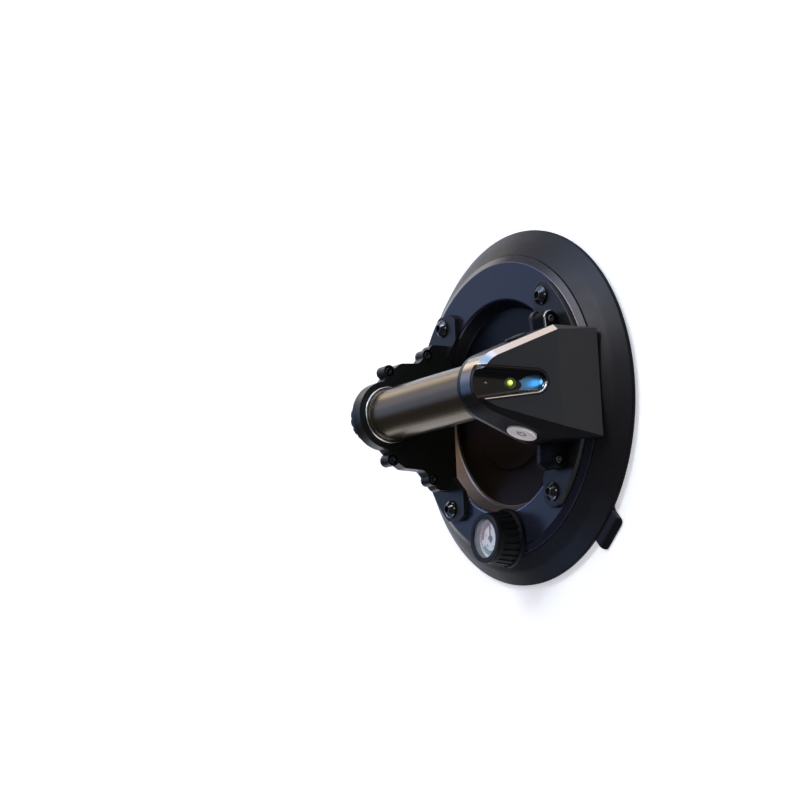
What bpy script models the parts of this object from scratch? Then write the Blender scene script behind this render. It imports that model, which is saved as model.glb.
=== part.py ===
"""Battery vacuum lifter: a round rubber pad with a tubular grip, a pump housing and a vacuum gauge.

Sizes are in metres. The origin is the centre of the pad's sealing face, which lies in the plane Z = 0.
+Z leaves the workpiece, and +X runs along the grip towards the pump housing.
"""
import math

import bmesh
import bpy
from mathutils import Matrix, Vector

# Gaps between pieces
CLEARANCE = 0.0003          # between faces that touch on the real lifter
RUNNING_CLEARANCE = 0.0004  # round a piece that turns or slides

# Rubber pad
PAD_RADIUS = 0.127
PAD_EDGE = 0.004            # height of the pad's outer edge
PAD_EDGE_ROUND = 0.0009
LIP_UNDERCUT = 0.0045       # the sealing face starts this far inside the edge
LIP_WIDTH = 0.015
CHAMBER_DEPTH = 0.0034      # hollow under the pad
SHOULDER_HEIGHT = 0.0181    # top of the rubber under the plate's ring
SHOULDER_ROUND = 0.0014
TAB_ANGLE = math.radians(-47)
TAB_WIDTH = 0.027
TAB_REACH = 0.0108          # past the pad's edge
TAB_ROOT = 0.006            # inside the pad's edge
TAB_THICKNESS = 0.0033
TAB_CORNER = 0.0035

# Mounting plate
PLATE_RADIUS = 0.1075
PLATE_THICKNESS = 0.0032
PLATE_EDGE_ROUND = 0.0011
DISH_RADIUS = 0.0765
DISH_DRAFT = 0.0035
DISH_DEPTH = 0.0116
DISH_WALL = 0.0028
HUB_RADIUS = 0.044
HUB_HEIGHT = 0.0022
HUB_BEVEL = 0.0012

# Feet, their screws and the threaded inserts
FLANGE_THICKNESS = 0.0037
FOOT_SCREW_X = 0.0618
FOOT_SCREW_Y = 0.0674
FOOT_SCREW_RADIUS = 0.0039
FOOT_SCREW_LENGTH = 0.015
FOOT_HEAD_RADIUS = 0.0064
FOOT_HEAD_HEIGHT = 0.0041
FOOT_SOCKET_FLATS = 0.005
FOOT_SOCKET_DEPTH = 0.0022
INSERT_RADIUS = 0.0052
INSERT_BOTTOM = 0.008

# Grip tube and what it holds
GRIP_HEIGHT = 0.078         # tube axis above the sealing face
TUBE_RADIUS = 0.0188
TUBE_WALL = 0.0016
TUBE_FAR_END = -0.0686
TUBE_NEAR_END = 0.072
RING_WIDTH = 0.0013
RING_DEPTH = 0.0015
CELL_RADIUS = 0.0166
CELL_LENGTH = 0.0598
CELL_NUB_RADIUS = 0.0048
CELL_NUB_HEIGHT = 0.0014
CONTACT_THICKNESS = 0.0016
CAP_RADIUS = 0.0197
CAP_LENGTH = 0.0168
CAP_ROUND = 0.0032
CAP_PLUG_LENGTH = 0.0065
CAP_GROOVES = 8
CAP_GROOVE_RADIUS = 0.0011
CAP_GROOVE_SETOUT = 0.0005
SEAL_SECTION = 0.0011
SPRING_WIRE = 0.0005
SPRING_RADIUS = 0.0095
SPRING_TURNS = 2.5

# Far bracket, clamped from two halves
FAR_INNER_FACE = -0.058
FAR_HALF_THICKNESS = 0.006
FAR_COVER_THICKNESS = 0.0045
FAR_FOOT_HALF = 0.054
FAR_KNEE_HEIGHT = 0.0385
FAR_WAIST_HALF = 0.0395
FAR_WAIST_HEIGHT = 0.05
FAR_SHOULDER_HALF = 0.0385
FAR_SHOULDER_HEIGHT = 0.066
FAR_NECK_HALF = 0.034
FAR_NECK_HEIGHT = 0.073
COLLAR_RADIUS = 0.0249
COLLAR_START = math.radians(8)
FAR_BOSSES = ((0.0322, 0.0762), (0.0458, 0.0422))
BOSS_RADIUS = 0.0047
JOINING_SCREW_RADIUS = 0.0019
JOINING_HEAD_RADIUS = 0.0036
JOINING_HEAD_HEIGHT = 0.0023
JOINING_SOCKET_FLATS = 0.003
JOINING_SOCKET_DEPTH = 0.0013
HEAD_RECESS = 0.0029        # how deep the joining screws' heads sit

# Feet outlines: inner corner, toe and outer arc
FOOT_TOE_INNER = 0.0455
FOOT_TOE_START = 0.0565
FOOT_TOE_OUTER = 0.0765
FOOT_TOE_CHAMFER = 0.0075
FOOT_HEEL_HALF = 0.0445
FAR_FLANGE_RADIUS = 0.101
FAR_FLANGE_BACK = 0.0865
NEAR_FLANGE_SETBACK = 0.0017
NEAR_TOE_INNER = 0.0515

# Pump housing
BRACKET_FACE = 0.062        # inner face of the near bracket
BRACKET_THICKNESS = 0.004
HOUSING_HALF_WIDTH = 0.0365
HOUSING_KNEE = 0.047        # where the side walls start to lean in
HOUSING_RADIUS = 0.0216     # round top over the tube
HOUSING_WALL = 0.0024
HOUSING_BOTTOM = 0.0186
HOUSING_EDGE = 0.0055
END_KNEE_X = 0.105
END_TOP_X = 0.085
END_TOP_HEIGHT = 0.100
END_FOOT_X = 0.1105
LUG_HALF_SPREAD = 0.0478
LUG_HEIGHT = 0.0318
LUG_RADIUS = 0.0054
LUG_ROOT_HALF = 0.0046
LUG_LENGTH = 0.0135

# Thumb slot in the end face, with its indicator panel
SLOT_LOW_END = 0.0073       # up the face from the knee
SLOT_LOW_HALF = 0.009
SLOT_TOP_HALF = 0.0128
SLOT_TOP_RUN = 0.064
SCOOP_DEPTH = 0.0045
SCOOP_RIM = 0.0012
SCOOP_FLOOR_START = 0.017   # ramp at the slot's low end
SCOOP_SIDE_RAMP = 0.0032
PANEL_THICKNESS = 0.007
STATUS_LED_RUN = 0.0324
STATUS_LED_RADIUS = 0.0019
WARNING_LED_SETBACK = 0.002  # from the board's upper end
WARNING_LED_RADIUS = 0.001
BOARD_THICKNESS = 0.0016
BOARD_HALF_WIDTH = 0.0105
BOARD_START = 0.018
BOARD_ROOF_GAP = 0.002

# Push buttons on the leaning side walls
BUTTON_X = 0.0785
BUTTON_HEIGHT = 0.0606
POWER_BUTTON_RADIUS = 0.0102
RELEASE_BUTTON_RADIUS = 0.0076
BUTTON_PROUD = 0.0016
BUTTON_THICKNESS = 0.0036
BUTTON_ROUND = 0.0007
BUTTON_TRAVEL = 0.0012
BUTTON_STEM_RADIUS = 0.0032
BUTTON_STEM_LENGTH = 0.004
BUTTON_SEAT_WALL = 0.0012
BUTTON_SEAT_DEPTH = 0.0095
BUTTON_SEAT_NECK = 0.0056
BUTTON_SPRING_WIRE = 0.00025
BUTTON_SPRING_TURNS = 2.5
BUTTON_SPRING_HEIGHT = 0.0022

# Vacuum pump and its motor
PUMP_X = 0.0845
MOTOR_HEIGHT = 0.038
MOTOR_RADIUS = 0.010
MOTOR_LENGTH = 0.024
MOTOR_BOSS_RADIUS = 0.004
MOTOR_BOSS_LENGTH = 0.0018
SHAFT_RADIUS = 0.001
SHAFT_BACK = 0.006          # shaft inside the motor
PUMP_FACE_Y = -0.0009
PUMP_WIDTH = 0.0149
PUMP_HALF_LENGTH = 0.0095
PUMP_WALL = 0.0017
PUMP_TOP = 0.048
CAM_RADIUS = 0.004
CAM_THROW = 0.0012
CAM_WIDTH = 0.005
YOKE_WALL = 0.0013
YOKE_WIDTH = 0.0044
YOKE_STEM_RADIUS = 0.0015
DIAPHRAGM_THICKNESS = 0.0013
HEAD_HEIGHT = 0.0052
NOZZLE_RADIUS = 0.0021
NOZZLE_LENGTH = 0.0045

# Vacuum port through the flange, plate and pad
PORT_Y = 0.024
PORT_SHANK_RADIUS = 0.0047
PORT_BORE_RADIUS = 0.0012
PORT_HEX_FLATS = 0.012
PORT_HEX_HEIGHT = 0.004
PORT_BARB_HEIGHT = 0.006
GASKET_THICKNESS = 0.0012
GASKET_RADIUS = 0.0078
FILTER_RADIUS = 0.008
FILTER_THICKNESS = 0.0017
HOSE_RADIUS = 0.002

# Vacuum gauge
GAUGE_X = 0.0025
GAUGE_Y = -0.094
GAUGE_TOP = 0.0428
BOOT_BASE_RADIUS = 0.0208
BOOT_TOP_RADIUS = 0.0176
BOOT_RIBS = 18
BOOT_RIB_DEPTH = 0.0009
CASE_RADIUS = 0.0158
CASE_WALL = 0.0014
CASE_FLOOR = 0.0016
STEM_HEX_FLATS = 0.012
STEM_HEX_HEIGHT = 0.0042
STEM_SHANK_RADIUS = 0.0047
STEM_BORE_RADIUS = 0.0014
DIAL_THICKNESS = 0.0006
DIAL_DROP = 0.0062          # dial's top face below the bezel's
LENS_THICKNESS = 0.0012
BEZEL_THICKNESS = 0.0012
BEZEL_BORE = 0.0135
POINTER_LENGTH = 0.0105
POINTER_TAIL = 0.003
POINTER_WIDTH = 0.0011
POINTER_THICKNESS = 0.0005
POINTER_HUB_RADIUS = 0.0019
ARBOR_RADIUS = 0.0006
ARBOR_LENGTH = 0.0052
MOVEMENT_RADIUS = 0.0046
MOVEMENT_HEIGHT = 0.005
COIL_RADIUS = 0.0112
COIL_TUBE_RADIUS = 0.0012

# Heights that follow from the sizes above
PLATE_BOTTOM = SHOULDER_HEIGHT + CLEARANCE
PLATE_TOP = PLATE_BOTTOM + PLATE_THICKNESS
DISH_FLOOR = PLATE_TOP - DISH_DEPTH
WEB_TOP = DISH_FLOOR - DISH_WALL - CLEARANCE
FLANGE_BOTTOM = PLATE_TOP + CLEARANCE
FLANGE_TOP = FLANGE_BOTTOM + FLANGE_THICKNESS
BRACKET_BACK = BRACKET_FACE + BRACKET_THICKNESS
COVER_FACE = BRACKET_BACK + CLEARANCE
NEAR_FLANGE_RADIUS = PLATE_RADIUS - NEAR_FLANGE_SETBACK
TUBE_BORE = TUBE_RADIUS - TUBE_WALL
FAR_SPLIT = FAR_INNER_FACE - FAR_HALF_THICKNESS
FAR_COVER_BACK = FAR_SPLIT - CLEARANCE - FAR_COVER_THICKNESS
END_LEAN = math.atan2(END_KNEE_X - END_TOP_X, END_TOP_HEIGHT - HOUSING_KNEE)
ROOF_OVER_BOARD = GRIP_HEIGHT + math.sqrt((HOUSING_RADIUS - HOUSING_WALL) ** 2 - BOARD_HALF_WIDTH ** 2)
BOARD_END = (ROOF_OVER_BOARD - BOARD_ROOF_GAP - HOUSING_KNEE) / math.cos(END_LEAN) + (
    PANEL_THICKNESS * math.tan(END_LEAN))
WARNING_LED_RUN = BOARD_END - WARNING_LED_SETBACK
OVERCUT = 0.002             # how far a cutter runs past the face that it opens

TURN_TO_X = (0.0, math.pi / 2, 0.0)
TURN_TO_MINUS_X = (0.0, -math.pi / 2, 0.0)
TURN_TO_Y = (-math.pi / 2, 0.0, 0.0)
OUTLINE_TO_YZ = (math.pi / 2, 0.0, math.pi / 2)
NO_TURN = (0.0, 0.0, 0.0)

# Colour, roughness and metallic value of each finish
FINISHES = {
    "pad rubber": ((0.020, 0.027, 0.050), 0.42, 0.0),
    "plate enamel": ((0.024, 0.032, 0.062), 0.32, 0.0),
    "black nylon": ((0.012, 0.012, 0.014), 0.38, 0.0),
    "charcoal shell": ((0.040, 0.042, 0.050), 0.42, 0.0),
    "gloss black": ((0.016, 0.013, 0.012), 0.16, 0.0),
    "anodised tube": ((0.270, 0.245, 0.205), 0.33, 0.9),
    "bright steel": ((0.620, 0.620, 0.600), 0.25, 1.0),
    "black steel": ((0.020, 0.020, 0.022), 0.28, 0.6),
    "satin nickel": ((0.720, 0.680, 0.600), 0.30, 0.9),
    "brass": ((0.650, 0.480, 0.220), 0.35, 1.0),
    "seal rubber": ((0.015, 0.015, 0.015), 0.60, 0.0),
    "cell jacket": ((0.080, 0.180, 0.420), 0.40, 0.0),
    "circuit board": ((0.020, 0.160, 0.060), 0.50, 0.0),
    "green lamp": ((0.550, 0.900, 0.120), 0.20, 0.0),
    "amber lamp": ((0.140, 0.090, 0.050), 0.20, 0.0),
    "motor can": ((0.500, 0.500, 0.500), 0.35, 1.0),
    "pump plastic": ((0.250, 0.250, 0.260), 0.45, 0.0),
    "diaphragm rubber": ((0.060, 0.060, 0.060), 0.70, 0.0),
    "hose": ((0.600, 0.600, 0.580), 0.35, 0.0),
    "felt": ((0.700, 0.700, 0.660), 0.90, 0.0),
    "dial white": ((0.800, 0.820, 0.830), 0.45, 0.0),
    "pointer black": ((0.020, 0.020, 0.020), 0.40, 0.0),
    "clear lens": ((0.900, 0.920, 0.920), 0.05, 0.0),
}


# Scene helpers
def clear_scene():
    """Removes the objects of the scene that the script starts in."""
    for thing in list(bpy.data.objects):
        bpy.data.objects.remove(thing, do_unlink=True)


def collection_named(name):
    """Gives the collection with this name, linked to the scene."""
    group = bpy.data.collections.get(name)
    if group is None:
        group = bpy.data.collections.new(name)
        bpy.context.scene.collection.children.link(group)
    return group


def finish_named(name):
    """Gives the material of a finish, made the first time that it is used."""
    material = bpy.data.materials.get(name)
    if material is None:
        colour, roughness, metallic = FINISHES[name]
        material = bpy.data.materials.new(name)
        material.use_nodes = True
        shader = material.node_tree.nodes["Principled BSDF"]
        shader.inputs["Base Color"].default_value = (*colour, 1.0)
        shader.inputs["Roughness"].default_value = roughness
        shader.inputs["Metallic"].default_value = metallic
    return material


def place_object(name, mesh, place, turn, finish, parent=None):
    """Puts a mesh into the scene as a part, or as a cutter when it has no finish."""
    piece = bpy.data.objects.new(name, mesh)
    piece.location = place
    piece.rotation_euler = turn
    piece.parent = parent
    if finish is None:
        piece.hide_render = True
        piece.display_type = "WIRE"
        collection_named("cutters").objects.link(piece)
        return piece
    mesh.materials.clear()
    mesh.materials.append(finish_named(finish))
    mesh.shade_smooth()
    mesh.set_sharp_from_angle(angle=math.radians(35))
    collection_named("vacuum_lifter").objects.link(piece)
    return piece


def guide(name, place, turn):
    """Adds an empty that carries the pieces of one sloping face."""
    empty = bpy.data.objects.new(name, None)
    empty.location = place
    empty.rotation_euler = turn
    empty.empty_display_size = 0.01
    collection_named("vacuum_lifter").objects.link(empty)
    return empty


# Shape helpers
def block(name, low, high, finish=None, parent=None):
    """Makes a box from its lowest to its highest corner."""
    low, high = Vector(low), Vector(high)
    form = bmesh.new()
    bmesh.ops.create_cube(form, size=1.0)
    bmesh.ops.scale(form, vec=high - low, verts=form.verts)
    mesh = bpy.data.meshes.new(name)
    form.to_mesh(mesh)
    form.free()
    return place_object(name, mesh, (low + high) / 2, NO_TURN, finish, parent)


def rod(name, radius, start, length, turn=NO_TURN, finish=None, parent=None, sides=32):
    """Makes a cylinder that leaves start along the turned Z axis for its length."""
    form = bmesh.new()
    bmesh.ops.create_cone(
        form, cap_ends=True, segments=sides, radius1=radius, radius2=radius, depth=length)
    bmesh.ops.translate(form, vec=(0.0, 0.0, length / 2), verts=form.verts)
    mesh = bpy.data.meshes.new(name)
    form.to_mesh(mesh)
    form.free()
    return place_object(name, mesh, start, turn, finish, parent)


def hexagon(name, flats, start, length, turn=NO_TURN, finish=None, parent=None):
    """Makes a hexagonal bar from its width across flats."""
    return rod(name, flats / math.sqrt(3), start, length, turn, finish, parent, sides=6)


def arc(centre, radius, start, end, count):
    """Gives count points on an arc in the drawing plane, its two ends included."""
    points = []
    for step in range(count):
        angle = start + (end - start) * step / (count - 1)
        points.append((centre[0] + radius * math.cos(angle), centre[1] + radius * math.sin(angle)))
    return points


def turned(name, profile, place, turn=NO_TURN, finish=None, parent=None, steps=48, closed=False):
    """Turns a profile of (radius, height) points, listed from the top down the outer side."""
    form = bmesh.new()
    corners = [form.verts.new((radius, 0.0, height)) for radius, height in profile]
    pairs = list(zip(corners, corners[1:]))
    if closed:
        pairs.append((corners[-1], corners[0]))
    for first, second in pairs:
        form.edges.new((first, second))
    mesh = bpy.data.meshes.new(name)
    form.to_mesh(mesh)
    form.free()
    piece = place_object(name, mesh, place, turn, finish, parent)
    lathe = piece.modifiers.new("turning", "SCREW")
    lathe.axis = "Z"
    lathe.angle = 2 * math.pi
    lathe.steps = steps
    lathe.render_steps = steps
    lathe.use_merge_vertices = True
    lathe.merge_threshold = 0.00001
    return piece


def outline_mesh(name, loops, thickness):
    """Fills closed loops of points and gives the sheet its thickness, centred on the plane."""
    curve = bpy.data.curves.new(name + "_outline", "CURVE")
    curve.dimensions = "2D"
    curve.fill_mode = "BOTH"
    curve.extrude = thickness / 2
    for loop in loops:
        spline = curve.splines.new("POLY")
        spline.points.add(len(loop) - 1)
        for point, place in zip(spline.points, loop):
            point.co = (place[0], place[1], 0.0, 1.0)
        spline.use_cyclic_u = True
    drawing = bpy.data.objects.new(name + "_outline", curve)
    bpy.context.scene.collection.objects.link(drawing)
    bpy.context.view_layer.update()
    view = bpy.context.evaluated_depsgraph_get()
    mesh = bpy.data.meshes.new_from_object(drawing.evaluated_get(view))
    bpy.data.objects.remove(drawing, do_unlink=True)
    form = bmesh.new()
    form.from_mesh(mesh)
    bmesh.ops.remove_doubles(form, verts=form.verts, dist=0.000001)
    bmesh.ops.dissolve_limit(form, angle_limit=math.radians(0.5), verts=form.verts, edges=form.edges)
    form.to_mesh(mesh)
    form.free()
    mesh.name = name
    return mesh


def sheet(name, loops, start, thickness, turn, finish=None, parent=None):
    """Makes a flat solid whose back is at start and which grows along the turned Z axis."""
    mesh = outline_mesh(name, loops, thickness)
    mesh.transform(Matrix.Translation((0.0, 0.0, thickness / 2)))
    return place_object(name, mesh, start, turn, finish, parent)


def slice_off(mesh, point, normal):
    """Cuts away what lies beyond a plane and closes the cut."""
    form = bmesh.new()
    form.from_mesh(mesh)
    cut_parts = bmesh.ops.bisect_plane(
        form, geom=form.verts[:] + form.edges[:] + form.faces[:], plane_co=point,
        plane_no=normal, clear_outer=True, dist=0.000001)
    rim = [item for item in cut_parts["geom_cut"] if isinstance(item, bmesh.types.BMEdge)]
    bmesh.ops.contextual_create(form, geom=rim)
    bmesh.ops.recalc_face_normals(form, faces=form.faces)
    form.to_mesh(mesh)
    form.free()


def boolean(piece, other, operation):
    """Adds a Boolean step to a piece."""
    step = piece.modifiers.new(operation.lower(), "BOOLEAN")
    step.operation = operation
    step.object = other
    step.solver = "EXACT"


def cut(piece, *cutters):
    """Takes the cutters out of a piece."""
    for cutter in cutters:
        boolean(piece, cutter, "DIFFERENCE")


def join(piece, *lumps):
    """Adds lumps to a piece, so that it stays one body."""
    for lump in lumps:
        boolean(piece, lump, "UNION")


def soften(piece, width, segments=2, angle=40):
    """Rounds the sharp edges of a piece."""
    step = piece.modifiers.new("edge", "BEVEL")
    step.width = width
    step.segments = segments
    step.limit_method = "ANGLE"
    step.angle_limit = math.radians(angle)


def wire(name, points, radius, finish, parent=None):
    """Makes a round wire or hose along its points."""
    curve = bpy.data.curves.new(name, "CURVE")
    curve.dimensions = "3D"
    curve.bevel_depth = radius
    curve.bevel_resolution = 1
    curve.use_fill_caps = True
    spline = curve.splines.new("POLY")
    spline.points.add(len(points) - 1)
    for point, place in zip(spline.points, points):
        point.co = (*place, 1.0)
    curve.materials.append(finish_named(finish))
    piece = bpy.data.objects.new(name, curve)
    piece.parent = parent
    collection_named("vacuum_lifter").objects.link(piece)
    return piece


def coil_points(radius, low, high, turns, per_turn=10):
    """Gives the points of a coil about Z."""
    points = []
    count = int(turns * per_turn)
    for step in range(count + 1):
        angle = 2 * math.pi * step / per_turn
        height = low + (high - low) * step / count
        points.append((radius * math.cos(angle), radius * math.sin(angle), height))
    return points


def mirrored(points):
    """Completes a half outline, given with rising first values, by its mirror image."""
    return points + [(-across, up) for across, up in reversed(points) if across > 0.000001]


# Pad and plate
def build_pad():
    """Makes the rubber pad with its sealing lip, shallow chamber and pull tab."""
    shoulder = (PLATE_RADIUS + CLEARANCE, SHOULDER_HEIGHT - SHOULDER_ROUND)
    top = [
        (0.0, WEB_TOP),
        (DISH_RADIUS - DISH_DRAFT + DISH_WALL + CLEARANCE, WEB_TOP),
        (DISH_RADIUS + DISH_WALL + CLEARANCE, SHOULDER_HEIGHT),
    ]
    edge = (PAD_RADIUS - PAD_EDGE_ROUND, PAD_EDGE - PAD_EDGE_ROUND)
    lip = PAD_RADIUS - LIP_UNDERCUT
    profile = (
        top + arc(shoulder, SHOULDER_ROUND, math.pi / 2, math.radians(42), 3)
        + arc(edge, PAD_EDGE_ROUND, math.radians(50), math.radians(-35), 4)
        + [(lip, 0.0), (lip - LIP_WIDTH, 0.0), (lip - LIP_WIDTH, CHAMBER_DEPTH), (0.0, CHAMBER_DEPTH)])
    pad = turned("pad_rubber", profile, (0, 0, 0), finish="pad rubber", steps=48)

    tab = block(
        "pull_tab", (PAD_RADIUS - TAB_ROOT, -TAB_WIDTH / 2, CLEARANCE),
        (PAD_RADIUS + TAB_REACH, TAB_WIDTH / 2, CLEARANCE + TAB_THICKNESS))
    tab_centre = tab.location.copy()
    tab.location = (
        tab_centre.x * math.cos(TAB_ANGLE), tab_centre.x * math.sin(TAB_ANGLE), tab_centre.z)
    tab.rotation_euler = (0.0, 0.0, TAB_ANGLE)
    tab_round = tab.modifiers.new("corners", "BEVEL")
    tab_round.width = TAB_CORNER
    tab_round.segments = 3
    tab_round.limit_method = "WEIGHT"
    weights = tab.data.attributes.new("bevel_weight_edge", "FLOAT", "EDGE")
    for edge in tab.data.edges:
        first, second = (tab.data.vertices[index].co for index in edge.vertices)
        upright = abs(first.z - second.z) > abs(first.x - second.x) + abs(first.y - second.y)
        weights.data[edge.index].value = 1.0 if upright else 0.0
    join(pad, tab)

    for number, (x, y) in enumerate(foot_places(), start=1):
        cut(pad, rod(
            f"pad_insert_hole_{number}", INSERT_RADIUS + CLEARANCE, (x, y, INSERT_BOTTOM - CLEARANCE),
            SHOULDER_HEIGHT, sides=16))
    cut(
        pad,
        rod("pad_port_hole", PORT_SHANK_RADIUS + CLEARANCE, (PUMP_X, PORT_Y, 0.0), PLATE_TOP, sides=16),
        rod(
            "pad_filter_recess", FILTER_RADIUS + CLEARANCE, (PUMP_X, PORT_Y, CHAMBER_DEPTH - OVERCUT),
            OVERCUT + FILTER_THICKNESS + 2 * CLEARANCE, sides=20),
        rod("pad_gauge_hole", STEM_SHANK_RADIUS + CLEARANCE, (GAUGE_X, GAUGE_Y, 0.0), PLATE_TOP, sides=16))
    return pad


def build_plate():
    """Makes the dished mounting plate that lies on the rubber."""
    corner = (PLATE_RADIUS - PLATE_EDGE_ROUND, PLATE_TOP - PLATE_EDGE_ROUND)
    profile = [
        (0.0, DISH_FLOOR + HUB_HEIGHT),
        (HUB_RADIUS, DISH_FLOOR + HUB_HEIGHT),
        (HUB_RADIUS + HUB_BEVEL, DISH_FLOOR),
        (DISH_RADIUS - DISH_DRAFT - HUB_BEVEL, DISH_FLOOR),
        (DISH_RADIUS - DISH_DRAFT, DISH_FLOOR + HUB_BEVEL),
        (DISH_RADIUS - HUB_BEVEL / 2, PLATE_TOP - HUB_BEVEL / 2),
        (DISH_RADIUS + HUB_BEVEL / 2, PLATE_TOP),
    ]
    profile += arc(corner, PLATE_EDGE_ROUND, math.pi / 2, 0.0, 3)
    profile += [
        (PLATE_RADIUS, PLATE_BOTTOM),
        (DISH_RADIUS + DISH_WALL, PLATE_BOTTOM),
        (DISH_RADIUS - DISH_DRAFT + DISH_WALL, DISH_FLOOR - DISH_WALL),
        (0.0, DISH_FLOOR - DISH_WALL),
    ]
    plate = turned("mounting_plate", profile, (0, 0, 0), finish="plate enamel", steps=48)
    for number, (x, y) in enumerate(foot_places(), start=1):
        cut(plate, rod(
            f"plate_insert_hole_{number}", INSERT_RADIUS + CLEARANCE, (x, y, INSERT_BOTTOM),
            PLATE_TOP, sides=16))
    cut(
        plate,
        rod("plate_port_hole", PORT_SHANK_RADIUS + CLEARANCE, (PUMP_X, PORT_Y, 0.0), 2 * PLATE_TOP, sides=16),
        rod("plate_gauge_hole", STEM_SHANK_RADIUS + CLEARANCE, (GAUGE_X, GAUGE_Y, 0.0), 2 * PLATE_TOP,
            sides=16))
    return plate


def foot_places():
    """Gives the four foot screws' places, from the far side to the near side."""
    return [
        (along * FOOT_SCREW_X, across * FOOT_SCREW_Y) for along in (-1, 1) for across in (1, -1)]


def build_foot_fasteners():
    """Makes the four socket screws of the feet and the threaded inserts that they turn into."""
    socket_radius = FOOT_SOCKET_FLATS / math.sqrt(3)
    head_base = FLANGE_TOP + CLEARANCE
    dome = []
    for step in range(5):
        angle = math.pi / 2 * step / 4
        dome.append((FOOT_HEAD_RADIUS * math.sin(angle), FOOT_HEAD_HEIGHT * math.cos(angle)))
    profile = dome + [
        (FOOT_SCREW_RADIUS, 0.0), (FOOT_SCREW_RADIUS, -FOOT_SCREW_LENGTH), (0.0, -FOOT_SCREW_LENGTH)]
    insert_top = PLATE_TOP
    ring = [
        (INSERT_RADIUS, insert_top), (INSERT_RADIUS, INSERT_BOTTOM),
        (FOOT_SCREW_RADIUS + CLEARANCE, INSERT_BOTTOM), (FOOT_SCREW_RADIUS + CLEARANCE, insert_top)]
    for number, (x, y) in enumerate(foot_places(), start=1):
        screw = turned(
            f"foot_screw_{number}", profile, (x, y, head_base), finish="black steel", steps=20)
        cut(screw, rod(
            f"foot_socket_{number}", socket_radius, (x, y, head_base + FOOT_HEAD_HEIGHT - FOOT_SOCKET_DEPTH),
            FOOT_HEAD_HEIGHT, sides=6))
        turned(f"threaded_insert_{number}", ring, (x, y, 0.0), finish="brass", steps=16, closed=True)


# Brackets
def foot_outline(toe_inner, flange_radius, back, inner_x):
    """Gives the outline of a base flange with two feet, for a bracket on the +X side."""
    arc_start = math.acos((FOOT_SCREW_X + FOOT_TOE_CHAMFER / 2) / flange_radius)
    arc_end = math.acos(min(1.0, back / flange_radius))
    toe_x = toe_inner + FOOT_TOE_CHAMFER
    half = [
        (inner_x, FOOT_HEEL_HALF),
        (toe_inner, FOOT_TOE_START),
        (toe_inner, FOOT_TOE_OUTER - FOOT_TOE_CHAMFER / 2),
        (toe_x, flange_radius * math.sin(arc_start)),
    ]
    half += arc((0.0, 0.0), flange_radius, arc_start, arc_end, 9)
    lower = [(x, -y) for x, y in reversed(half) if y > 0.000001]
    return half + lower


def bracket_holes(name, piece, sign):
    """Cuts the foot screw holes and the tube bore."""
    for side in (1, -1):
        cut(piece, rod(
            f"{name}_foot_hole_{side + 2}", FOOT_SCREW_RADIUS + CLEARANCE,
            (sign * FOOT_SCREW_X, side * FOOT_SCREW_Y, 0.0), 2 * FLANGE_TOP, sides=16))


def far_outline(bottom):
    """Gives the far bracket's outline across the grip, with its feet at the given height."""
    half = [
        (FAR_FOOT_HALF, bottom),
        (FAR_FOOT_HALF, FAR_KNEE_HEIGHT),
        (FAR_WAIST_HALF, FAR_WAIST_HEIGHT),
        (FAR_SHOULDER_HALF, FAR_SHOULDER_HEIGHT),
        (FAR_NECK_HALF, FAR_NECK_HEIGHT),
    ]
    half += arc((0.0, GRIP_HEIGHT), COLLAR_RADIUS, COLLAR_START, math.pi / 2, 8)
    return mirrored(half)


def screw_hole(name, face, depth, counterbore):
    """Makes the cutters of a joining screw's hole, which runs from face towards -X."""
    reach = depth + OVERCUT
    cutters = [rod(
        name + "_hole", JOINING_SCREW_RADIUS + CLEARANCE, (face[0] - reach, face[1], face[2]),
        reach + OVERCUT, TURN_TO_X, sides=12)]
    if counterbore:
        cutters.append(rod(
            name + "_recess", JOINING_HEAD_RADIUS + CLEARANCE, (face[0] - HEAD_RECESS, face[1], face[2]),
            HEAD_RECESS + OVERCUT, TURN_TO_X, sides=16))
    return cutters


def far_lumps(name, back, thickness, counterbore):
    """Makes the four screw bosses of one half of the far bracket, and their screw holes."""
    lumps = []
    holes = []
    for number, (y, z) in enumerate(far_boss_places(), start=1):
        lumps.append(rod(
            f"{name}_boss_{number}", BOSS_RADIUS, (back, y, z), thickness, TURN_TO_X, sides=14))
        holes += screw_hole(f"{name}_{number}", (back + thickness, y, z), thickness, counterbore)
    return lumps, holes


def far_boss_places():
    """Gives the four boss places (y, z) of the far bracket."""
    return [(side * y, z) for y, z in FAR_BOSSES for side in (1, -1)]


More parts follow.
